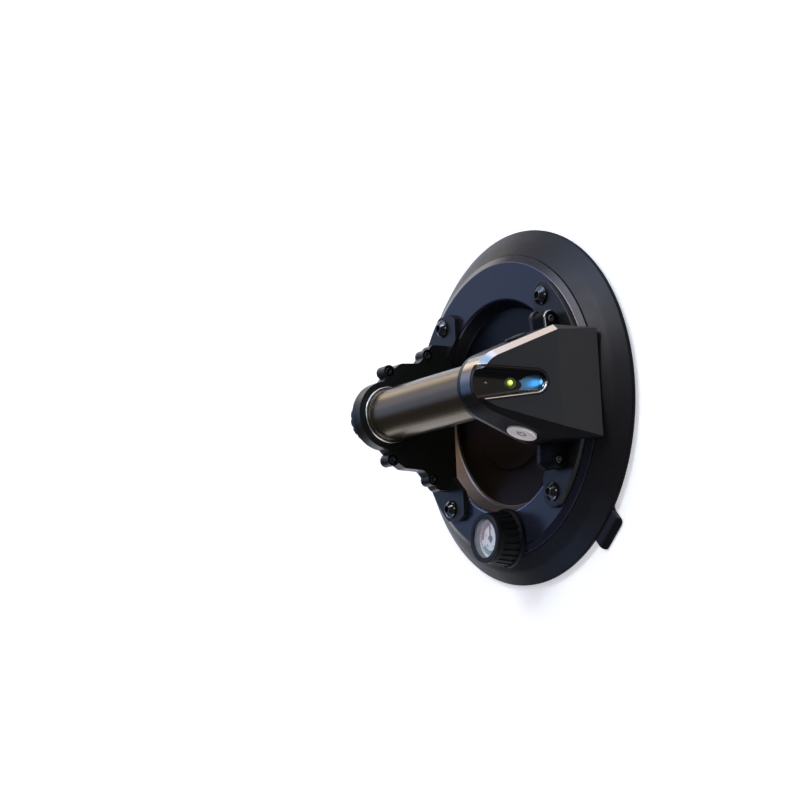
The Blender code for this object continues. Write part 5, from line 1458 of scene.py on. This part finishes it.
        # Painted blue reflection on the scoop's ramp
        RAMP_REFLECTION.put_on_faces(piece, on_ramp)
        for name, run, radius in self.lamps:
            height = self.panel_depth - self.scoop_depth
            dome = [
                (x, height + (y - height) * self.lamp_dome)
                for x, y in arc((0.0, height), radius, 0.0, math.pi / 2, 10)]
            lamp = Form.turned([(0.0, 0.0), (radius, 0.0)] + dome, SMALL)
            lamp.moved(-run, 0.0, -self.panel_depth).turned_by(face)
            finish = GREEN_LAMP if name == "status_lamp" else AMBER_LAMP
            piece = lamp.placed(name + "_lens", finish, stands_for=[name])
            if finish is GREEN_LAMP:
                middle = face @ Vector((-run, 0.0, -self.scoop_depth))
                LAMP_HEART.put_on_faces(
                    piece, lambda item: (item.center - middle).length < radius * self.lamp_heart)
                # A glowing ring around the lens: painted light spill of the lamp on the panel
                rim = Form.turned(rounded([
                    (radius + 2 * GAP, self.rim_height, 0.0001), (radius + 2 * GAP, 0.0, 0.0),
                    (radius + self.rim_width, 0.0, 0.0),
                    (radius + 0.0012, self.rim_height, 0.0002)], steps=3), SMALL)
                rim.moved(-run, 0.0, -self.scoop_depth).turned_by(face).placed(
                    "status_lamp_spill_ring", LAMP_SPILL_GLOW)

    def build_screws(self) -> None:
        """Makes the two screws in the housing's ears."""
        screw = SocketScrew(
            0.0036, 0.0023, 0.0019, 0.0146, 0.003, 0.0013, flat_share=0.7, washer=0.0002)
        seat = self.start + self.lug_length - self.head_recess + GAP
        for number, (y, z) in enumerate(self.lug_places(), start=1):
            screw.form().turned_by(TO_X).moved(seat, y, z).placed(
                f"housing_socket_screw_{number}", BLACK_STEEL,
                stands_for=[f"housing_screw_{number}"])


@dataclass
class PushButton:
    """A sprung push button in the housing's leaning wall."""

    node: str
    body: str
    side: int
    radius: float
    finish: Finish
    x: float = 0.0785
    height: float = 0.0606
    proud: float = 0.0016
    thickness: float = 0.0036
    stem_radius: float = 0.0032
    stem_length: float = 0.004
    dish: float = 0.0005
    travel: float = 0.0012
    spring_floor: float = -0.0050
    spring_radius: float = 0.0041
    spring_wire: float = 0.00025
    spring_turns: float = 2.5
    mark_inner: float = 0.0022
    mark_outer: float = 0.0031
    mark_gap: float = 0.0011
    mark_height: float = 0.00025
    bar_half: float = 0.00045
    bar_span: Point = (0.0008, 0.0040)

    def hole(self, housing: Housing) -> Form:
        """Makes the cutter of the button's hole in the housing.

        Args:
            housing: The housing that carries it.

        Returns:
            The cutter.
        """
        matrix = housing.seat_matrix(self.side, self.x, self.height)
        return Form.rod(
            self.radius + GAP, -housing.wall - OVERCUT, OVERCUT, ROUND).turned_by(matrix)

    def build(self, housing: Housing) -> None:
        """Makes the button with its shallow dish, and its mark.

        Args:
            housing: The housing that carries it.
        """
        matrix = housing.seat_matrix(self.side, self.x, self.height)
        back = self.proud - self.thickness
        corners = [
            (0.0, self.proud - self.dish, 0.0), (self.radius * 0.55, self.proud - self.dish, 0.004),
            (self.radius * 0.85, self.proud, 0.003), (self.radius, self.proud, 0.0009),
            (self.radius, back, 0.0002), (self.stem_radius, back, 0.0003),
            (self.stem_radius, back - self.stem_length, 0.0002),
            (0.0, back - self.stem_length, 0.0)]
        Form.turned(rounded(corners, closed=False, steps=6), ROUND).turned_by(matrix).placed(
            self.node + "_cap", self.finish, body=self.body, stands_for=[self.node])
        self.build_spring(matrix, self.spring_floor - housing.lift(self.side), back - GAP)
        if self.finish is SATIN_NICKEL:
            self.build_mark(matrix)

    def build_spring(self, matrix: Matrix, low: float, high: float) -> None:
        """Makes the return spring.

        Args:
            matrix: The button's seat.
            low: The height of the spring's foot on its seat.
            high: The height of its top under the cap.
        """
        form = Form()
        steps = round(self.spring_turns * SMALL / 2)
        pitch = (high - low - 2 * self.spring_wire) / steps
        bmesh.ops.create_circle(form.shape, cap_ends=True, segments=8, radius=self.spring_wire)
        bmesh.ops.rotate(
            form.shape, cent=(0, 0, 0), matrix=Matrix.Rotation(math.pi / 2, 3, "X"),
            verts=form.shape.verts)
        form.moved(self.spring_radius, 0.0, low + self.spring_wire)
        bmesh.ops.spin(
            form.shape, geom=form.shape.faces[:], cent=(0, 0, 0), axis=(0, 0, 1),
            dvec=(0, 0, pitch),
            angle=2 * math.pi * self.spring_turns, steps=steps, use_merge=False,
            use_duplicate=False)
        spring = form.closed().turned_by(matrix).placed(
            self.node + "_coil", BRIGHT_STEEL, stands_for=[self.node + "_spring"])
        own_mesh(spring)

    def build_mark(self, matrix: Matrix) -> None:
        """Makes the plain on-off sign in the button's dish: an open ring with a bar.

        Args:
            matrix: The button's seat.
        """
        low = self.proud - self.dish - 0.0001
        high = low + self.mark_height
        ring = Form.turned([
            (self.mark_inner, low), (self.mark_outer, low), (self.mark_outer, high),
            (self.mark_inner, high)], SMALL)
        gap = Form.block(
            (-self.mark_gap, 0.0, low - OVERCUT), (self.mark_gap, 0.005, high + OVERCUT))
        ring.carved(gap)
        bar = Form.block(
            (-self.bar_half, self.bar_span[0], low), (self.bar_half, self.bar_span[1], high))
        ring.joined(bar).turned_by(matrix).placed("power_button_mark", NICKEL_MARK, body=self.body)


@dataclass
class Grip:
    """The grip tube with its ring and end cap."""

    height: float = 0.078
    radius: float = 0.0188
    wall: float = 0.0016
    far_end: float = -0.0686
    near_end: float = 0.072
    ring_x: float = -0.0577
    ring_width: float = 0.0013
    ring_depth: float = 0.0015
    cap_face: float = -0.0691
    cap_radius: float = 0.0197
    cap_length: float = 0.0168
    plug_length: float = 0.0065
    seal: float = 0.0011
    grooves: int = 16
    spokes: int = 192

    def build_tube(self) -> None:
        """Makes the tube and its ring."""
        inner = self.radius - self.wall
        tube = Form.turned(rounded([
            (self.radius, self.near_end, 0.0003), (self.radius, self.far_end, 0.0003),
            (inner, self.far_end, 0.0003), (inner, self.near_end, 0.0003)], steps=3), FINE)
        tube.turned_by(TO_X).moved(0, 0, self.height).placed(
            "grip_tube_drawn", ANODISED_TUBE, stands_for=["grip_tube"])
        bore = self.radius + GAP
        outer = bore + self.ring_depth
        ring = Form.turned(rounded([
            (outer, self.ring_width, 0.0006), (outer, 0.0, 0.0005), (bore, 0.0, 0.0002),
            (bore, self.ring_width, 0.0002)], steps=5), FINE)
        ring.turned_by(TO_X).moved(self.ring_x, 0, self.height).placed(
            "grip_ring_turned", BRIGHT_STEEL, stands_for=["grip_ring"])

    def build_cap(self) -> None:
        """Makes the end cap with its grooves and plug."""
        plug = self.radius - self.wall - 0.0004
        low = -self.plug_length / 2
        waist = self.cap_radius - 0.0009
        corners = [
            (0.0, self.cap_length, 0.0), (self.cap_radius * 0.62, self.cap_length, 0.002),
            (self.cap_radius * 0.70, self.cap_length - 0.0007, 0.002),
            (waist - 0.0012, self.cap_length - 0.0012, 0.0028), (waist, 0.0045, 0.001),
            (self.cap_radius, 0.0038, 0.0006), (self.cap_radius, 0.0, 0.0005), (plug, 0.0, 0.0002),
            (plug, low + self.seal + GAP, 0.0), (plug - self.seal, low + self.seal + GAP, 0.0),
            (plug - self.seal, low - self.seal - GAP, 0.0), (plug, low - self.seal - GAP, 0.0),
            (plug, -self.plug_length, 0.0004), (0.0, -self.plug_length, 0.0)]
        cap = Form.turned(rounded(corners, closed=False, steps=6), self.spokes)
        pitch = self.spokes // self.grooves

        def in_groove(point: Vector) -> bool:
            """Tells whether a point lies in a groove.

            Args:
                point: A point of the cap.

            Returns:
                True if it does.
            """
            turn = round(math.atan2(point.y, point.x) / (2 * math.pi) * self.spokes) % pitch
            return turn < 3 and 0.0046 < point.z < self.cap_length - 0.0010 and (
                math.hypot(point.x, point.y) > self.cap_radius * 0.8)

        cap.pinched(in_groove, 0.962)
        cap.turned_by(TO_MINUS_X).moved(self.cap_face, 0, self.height).placed(
            "end_cap_grooved", BLACK_NYLON, body="cap", stands_for=["end_cap"])


@dataclass
class Gauge:
    """The vacuum gauge in its ribbed boot."""

    x: float = 0.0025
    y: float = -0.094
    low: float = 0.0219
    top: float = 0.0428
    boot_base: float = 0.0208
    boot_top: float = 0.0176
    case_radius: float = 0.0158
    case_low: float = 0.0264
    case_bore: float = 0.0144
    bezel_low: float = 0.0416
    bezel_bore: float = 0.0135
    dial_top: float = 0.0366
    ribs: int = 24
    spokes: int = 192
    sweep: float = math.radians(270)
    red_zone: Point = (math.radians(8), math.radians(92))
    green_start: float = math.radians(118)
    marks: int = 20
    dial_thickness: float = 0.0006
    band_inner: float = 0.0086
    band_outer: float = 0.0113
    number_reach: float = 0.0068
    number_height: float = 0.0026

    def put(self, form: Form, name: str, finish: Finish, **more: object) -> None:
        """Moves a form to the gauge's axis and finishes it."""
        form.moved(self.x, self.y).placed(name, finish, **more)

    def build_boot(self) -> None:
        """Makes the ribbed rubber boot."""
        bore = self.case_radius + GAP
        case_top = self.bezel_low - GAP
        corners = [
            (self.boot_top, case_top, 0.0004), (self.boot_top + 0.0003, 0.0378, 0.0005),
            (self.boot_top + 0.0002, 0.0372, 0.0004), (self.boot_base - 0.0014, 0.0262, 0.0006),
            (self.boot_base - 0.0006, 0.0252, 0.0006), (self.boot_base, 0.0246, 0.0005),
            (self.boot_base, self.low, 0.0004), (bore, self.low, 0.0002), (bore, case_top, 0.0002)]
        boot = Form.turned(rounded(corners, steps=4), self.spokes)
        pitch = self.spokes // self.ribs

        def in_groove(point: Vector) -> bool:
            """Tells whether a point lies in a groove.

            Args:
                point: A point of the boot.

            Returns:
                True if it does.
            """
            turn = round(math.atan2(point.y, point.x) / (2 * math.pi) * self.spokes) % pitch
            return turn < 3 and 0.0258 < point.z < 0.0376 and math.hypot(
                point.x, point.y) > bore + 0.0006

        boot.pinched(in_groove, 0.945)
        self.put(boot, "ribbed_boot", SEAL_RUBBER, stands_for=["gauge_boot"])

    def build_case(self) -> None:
        """Makes the case, the bezel and the lens."""
        case_top = self.bezel_low - GAP
        case = Form.turned(rounded([
            (self.case_radius, case_top, 0.0002), (self.case_radius, self.case_low, 0.0006),
            (0.0014, self.case_low, 0.0), (0.0014, self.case_low + 0.0016, 0.0),
            (self.case_bore, self.case_low + 0.0016, 0.0005), (self.case_bore, case_top, 0.0002)],
            steps=4), ROUND)
        self.put(case, "gauge_case_drawn", CASE_GREY, stands_for=["gauge_case"])
        bezel = Form.turned(rounded([
            (self.boot_top - 0.0003, self.top, 0.0009), (self.boot_top, self.bezel_low, 0.0003),
            (self.bezel_bore, self.bezel_low, 0.0002),
            (self.bezel_bore, self.top - 0.0002, 0.0004)],
            steps=6), FINE)
        self.put(bezel, "gauge_bezel_ring", BLACK_NYLON, stands_for=["gauge_bezel"])
        lens = Form.turned([
            (0.0, case_top - 0.0012), (self.case_bore - GAP, case_top - 0.0012),
            (self.case_bore - GAP, case_top - 0.0002), (self.case_bore - 0.0008, case_top),
            (0.0, case_top)], ROUND)
        self.put(lens, "gauge_lens_disc", CLEAR_LENS, stands_for=["gauge_lens"])

    def band(self, inner: float, outer: float, start: float, end: float) -> Form:
        """Makes a thin band on the dial between two angles from its zero, anticlockwise.

        Args:
            inner: Its inner radius.
            outer: Its outer radius.
            start: The angle at which it starts.
            end: The angle at which it ends.

        Returns:
            The band.
        """
        first, last = math.pi / 2 + start, math.pi / 2 + end
        outline = arc((0.0, 0.0), outer, first, last, 40) + arc((0.0, 0.0), inner, last, first, 40)
        return Form.sheet(outline, self.dial_top - 0.00002, self.dial_top + 0.00006)

    def build_dial(self) -> None:
        """Makes the dial with its bands, ticks and numbers."""
        low = self.dial_top - self.dial_thickness
        radius = self.case_bore - GAP
        dial = Form.turned([
            (radius, self.dial_top), (radius, low), (0.0010, low), (0.0010, self.dial_top)], ROUND)
        self.put(dial, "dial_face", DIAL_WHITE, stands_for=["gauge_dial"])
        red = self.band(self.band_inner, self.band_outer, *self.red_zone)
        self.put(red, "dial_red_band", DIAL_RED)
        green = self.band(self.band_inner, self.band_outer, self.green_start, self.sweep)
        self.put(green, "dial_green_band", DIAL_GREEN)
        ticks = self.band(0.0117, 0.0120, 0.0, self.sweep)
        for mark in range(self.marks + 1):
            turn = self.sweep * mark / self.marks
            long = mark % 5 == 0
            tick = Form.block(
                (-0.0003 if long else -0.00016, 0.0098 if long else 0.0108,
                    self.dial_top - 0.00002),
                (0.0003 if long else 0.00016, 0.0122, self.dial_top + 0.00009))
            ticks.shape.from_mesh(self.loose(tick.turned_by(Matrix.Rotation(turn, 4, "Z"))))
        self.put(ticks, "dial_ticks", DIAL_BLACK)
        numbers = Form()
        for mark in range(5):
            numbers.shape.from_mesh(self.number(25 * mark, math.pi / 2 + self.sweep * mark / 4))
        bmesh.ops.recalc_face_normals(numbers.shape, faces=numbers.shape.faces)
        self.put(numbers, "dial_numbers", DIAL_BLACK)

    def number(self, value: int, turn: float) -> bpy.types.Mesh:
        """Makes one of the dial's numbers, upright at its place.

        Args:
            value: The number.
            turn: The angle of its place on the dial.

        Returns:
            The number's mesh, thin and closed.
        """
        text = bpy.data.curves.new("number", "FONT")
        text.body = str(value)
        text.size = self.number_height
        text.align_x = text.align_y = "CENTER"
        text.extrude = 0.00004
        text.resolution_u = 3
        holder = bpy.data.objects.new("number", text)
        bpy.context.scene.collection.objects.link(holder)
        bpy.context.view_layer.update()
        mesh = bpy.data.meshes.new_from_object(
            holder.evaluated_get(bpy.context.evaluated_depsgraph_get()))
        bpy.data.objects.remove(holder, do_unlink=True)
        bpy.data.curves.remove(text)
        mesh.transform(Matrix.Translation((
            self.number_reach * math.cos(turn), self.number_reach * math.sin(turn),
            self.dial_top + 0.00003)))
        return mesh

    @staticmethod
    def loose(form: Form) -> bpy.types.Mesh:
        """Gives a form's mesh, to be added to another form as a body of its own.

        Args:
            form: The form, used up by this.

        Returns:
            The mesh.
        """
        mesh = bpy.data.meshes.new("loose")
        form.shape.to_mesh(mesh)
        form.shape.free()
        return mesh

    def build_pointer(self) -> None:
        """Makes the pointer with its tapered needle, hub and arbor."""
        low = self.dial_top + GAP
        needle = Form.sheet(
            [(-0.0008, -0.0030), (0.0008, -0.0030), (0.0005, 0.0), (0.00012, 0.0105),
             (-0.00012, 0.0105),
             (-0.0005, 0.0)], low + 0.0003, low + 0.0007)
        hub = Form.turned(rounded([
            (0.0, low + 0.0010, 0.0), (0.0019, low + 0.0010, 0.0003), (0.0019, low, 0.0001),
            (0.0006, low, 0.0), (0.0006, 0.0317, 0.0001),
            (0.0, 0.0317, 0.0)], closed=False, steps=4), SMALL)
        hub.joined(needle)
        self.put(
            hub, "tapered_pointer", POINTER_BLACK, body="pointer", stands_for=["gauge_pointer"])


INNER_FINISHES: dict[str, Finish] = {
    "threaded_insert_1": BRASS,
    "threaded_insert_2": BRASS,
    "threaded_insert_3": BRASS,
    "threaded_insert_4": BRASS,
    "circuit_board": BOARD_RESIST,
    "power_switch": PUMP_PLASTIC,
    "release_valve": BRASS,
    "battery_contact": BOARD_RESIST,
    "battery_cell_1": CELL_JACKET,
    "battery_cell_2": CELL_JACKET,
    "cap_seal": SEAL_RUBBER,
    "battery_spring": BRIGHT_STEEL,
    "pump_motor": MOTOR_CAN,
    "motor_shaft": BRIGHT_STEEL,
    "pump_body": PUMP_PLASTIC,
    "pump_yoke": PUMP_PLASTIC,
    "pump_diaphragm": DIAPHRAGM_RUBBER,
    "pump_head": PUMP_PLASTIC,
    "intake_hose": SILICONE,
    "port_fitting": BRASS,
    "port_gasket": SEAL_RUBBER,
    "port_filter": FELT,
    "gauge_stem": BRASS,
    "gauge_movement": BRASS,
    "pressure_coil": BRASS,
}


@dataclass(frozen=True)
class SkyPanel:
    """A round soft panel of light in the studio's sky, with its angles in degrees."""

    azimuth: float
    elevation: float
    inner: float
    outer: float
    colour: Colour
    strength: float

    def direction(self) -> Vector:
        """Gives the direction of the panel's middle.

        Returns:
            The direction, of length 1.
        """
        turn, rise = math.radians(self.azimuth), math.radians(self.elevation)
        return Vector((
            math.cos(turn) * math.cos(rise), math.sin(turn) * math.cos(rise), math.sin(rise)))


@dataclass
class Studio:
    """The floor, the sky, the lamps and the camera."""

    camera_place: tuple[float, float, float] = (0.9713, -0.1748, 0.7152)
    camera_right: tuple[float, float, float] = (0.52586, -0.04379, -0.84944)
    camera_up: tuple[float, float, float] = (0.15168, 0.98749, 0.043)
    lens: float = 76.2
    floor_reach: float = 40.0
    floor_glow: float = 0.45
    sky: tuple[tuple[float, Colour], ...] = (
        (0.00, (0.80, 0.80, 0.82)), (0.05, (0.45, 0.45, 0.48)), (0.12, (0.07, 0.07, 0.08)),
        (0.60, (0.045, 0.040, 0.036)), (1.00, (0.040, 0.033, 0.027)))
    panels: tuple[SkyPanel, ...] = (
        SkyPanel(86, 30, 12, 30, (0.32, 0.55, 1.00), 3.3),
        SkyPanel(75, 52, 3, 8, (1.00, 0.96, 0.92), 17.0),
        SkyPanel(104, 56, 10, 26, (0.95, 0.86, 0.88), 3.4),
        SkyPanel(84, 6, 12, 22, (1.00, 0.82, 0.66), 2.0),
        SkyPanel(50, 8, 8, 20, (1.00, 0.82, 0.66), 1.8),
        SkyPanel(124, 22, 6, 18, (1.00, 0.86, 0.86), 0.5),
        SkyPanel(148, 3, 6, 14, (1.00, 0.90, 0.76), 2.3),
        SkyPanel(156, 24, 4, 14, (1.00, 0.92, 0.96), 0.4),
        SkyPanel(163, 37, 12, 28, (0.38, 0.54, 1.00), 1.0),
        SkyPanel(-78, 14, 8, 22, (1.00, 0.88, 0.76), 2.8),
        SkyPanel(-106, 22, 8, 26, (0.26, 0.48, 1.00), 1.6),
        SkyPanel(10, 21, 5, 9, (0.10, 0.55, 1.00), 3.2),
        SkyPanel(10, 37, 6, 10, (0.78, 0.88, 1.00), 3.9),
        SkyPanel(15, 5, 10, 26, (0.96, 0.92, 0.90), 0.40),
    )

    def build_floor(self) -> None:
        """Makes the pale floor, which shows white and keeps the object's shadow."""
        form = Form()
        bmesh.ops.create_grid(form.shape, x_segments=2, y_segments=2, size=self.floor_reach)
        mesh = bpy.data.meshes.new("floor")
        form.moved(0.0, 0.0, -0.0004).shape.to_mesh(mesh)
        floor = bpy.data.objects.new("floor", mesh)
        bpy.context.scene.collection.objects.link(floor)
        material = bpy.data.materials.new("pale floor")
        material.use_nodes = True
        nodes, links = material.node_tree.nodes, material.node_tree.links
        shader = nodes["Principled BSDF"]
        shader.inputs["Base Color"].default_value = (0.80, 0.80, 0.80, 1.0)
        shader.inputs["Roughness"].default_value = 0.9
        shader.inputs["Specular IOR Level"].default_value = 0.1
        glow = nodes.new("ShaderNodeEmission")
        rays = nodes.new("ShaderNodeLightPath")
        either: bpy.types.NodeSocket = rays.outputs["Is Camera Ray"]
        for kind in ("Is Glossy Ray", "Is Transmission Ray"):
            more = nodes.new("ShaderNodeMath")
            more.operation = "MAXIMUM"
            links.new(either, more.inputs[0])
            links.new(rays.outputs[kind], more.inputs[1])
            either = more.outputs["Value"]
        seen = nodes.new("ShaderNodeMath")
        seen.operation = "MULTIPLY"
        seen.inputs[1].default_value = self.floor_glow
        links.new(either, seen.inputs[0])
        links.new(seen.outputs["Value"], glow.inputs["Strength"])
        both = nodes.new("ShaderNodeAddShader")
        links.new(shader.outputs["BSDF"], both.inputs[0])
        links.new(glow.outputs["Emission"], both.inputs[1])
        links.new(both.outputs["Shader"], nodes["Material Output"].inputs["Surface"])
        mesh.materials.append(material)

    def build_sky(self) -> None:
        """Makes the world: a pale horizon under a dim ceiling, with the soft panels in it."""
        world = bpy.data.worlds.new("studio sky")
        bpy.context.scene.world = world
        world.use_nodes = True
        nodes, links = world.node_tree.nodes, world.node_tree.links
        place = nodes.new("ShaderNodeTexCoord")
        direction = place.outputs["Generated"]
        parts = nodes.new("ShaderNodeSeparateXYZ")
        links.new(direction, parts.inputs["Vector"])
        ramp = nodes.new("ShaderNodeValToRGB")
        steps = ramp.color_ramp.elements
        while len(steps) < len(self.sky):
            steps.new(0.5)
        for step, (height, colour) in zip(steps, self.sky):
            step.position = height
            step.color = (*colour, 1.0)
        links.new(parts.outputs["Z"], ramp.inputs["Fac"])
        total = ramp.outputs["Color"]
        for panel in self.panels:
            near = nodes.new("ShaderNodeVectorMath")
            near.operation = "DOT_PRODUCT"
            near.inputs[1].default_value = panel.direction()
            links.new(direction, near.inputs[0])
            share = nodes.new("ShaderNodeMapRange")
            share.interpolation_type = "SMOOTHSTEP"
            share.inputs["From Min"].default_value = math.cos(math.radians(panel.outer))
            share.inputs["From Max"].default_value = math.cos(math.radians(panel.inner))
            links.new(near.outputs["Value"], share.inputs["Value"])
            glow = nodes.new("ShaderNodeVectorMath")
            glow.operation = "SCALE"
            glow.inputs[0].default_value = [part * panel.strength for part in panel.colour]
            links.new(share.outputs["Result"], glow.inputs["Scale"])
            both = nodes.new("ShaderNodeVectorMath")
            both.operation = "ADD"
            links.new(total, both.inputs[0])
            links.new(glow.outputs["Vector"], both.inputs[1])
            total = both.outputs["Vector"]
        links.new(total, nodes["Background"].inputs["Color"])

    def build_camera(self) -> None:
        """Makes the camera at the photograph's viewing angle."""
        camera = bpy.data.cameras.new("camera")
        camera.lens = self.lens
        camera.sensor_width = 36.0
        camera.clip_end = 50.0
        seat = bpy.data.objects.new("camera", camera)
        right = Vector(self.camera_right).normalized()
        up = Vector(self.camera_up)
        back = right.cross(up).normalized()
        up = back.cross(right)
        turn = Matrix((right, up, back)).transposed().to_4x4()
        seat.matrix_world = Matrix.Translation(self.camera_place) @ turn
        bpy.context.scene.collection.objects.link(seat)
        bpy.context.scene.camera = seat

    def build(self) -> None:
        """Makes the whole studio."""
        self.build_floor()
        self.build_sky()
        self.build_camera()
        bpy.context.scene.view_settings.view_transform = "Standard"


def dress_inner_parts() -> None:
    """Gives each node that keeps its own solid its finish."""
    for name, finish in INNER_FINISHES.items():
        finish.put_on(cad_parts[name])
        LOG.info("%s: %s", name, finish.name)


def main() -> None:
    """Builds every sub-assembly in order, then the studio."""
    logging.basicConfig(level=logging.INFO, format="%(message)s")
    pad = Pad()
    pad.build_rubber()
    pad.build_plate()
    housing = Housing()
    brackets = Brackets()
    brackets.build_far()
    brackets.build_near(
        housing.outline(0.0, (brackets.flange_low + brackets.flange_top) / 2, with_ears=True),
        housing.lug_places())
    brackets.build_screws()
    buttons = [
        PushButton("power_button", "power_key", -1, 0.0102, SATIN_NICKEL),
        PushButton("release_button", "release_key", 1, 0.0076, BLACK_NYLON)]
    housing.build_shell([button.hole(housing) for button in buttons])
    housing.build_panel()
    housing.build_screws()
    for button in buttons:
        button.build(housing)
    grip = Grip()
    grip.build_tube()
    grip.build_cap()
    gauge = Gauge()
    gauge.build_boot()
    gauge.build_case()
    gauge.build_dial()
    gauge.build_pointer()
    dress_inner_parts()
    Studio().build()


if __name__ == "__main__":
    main()
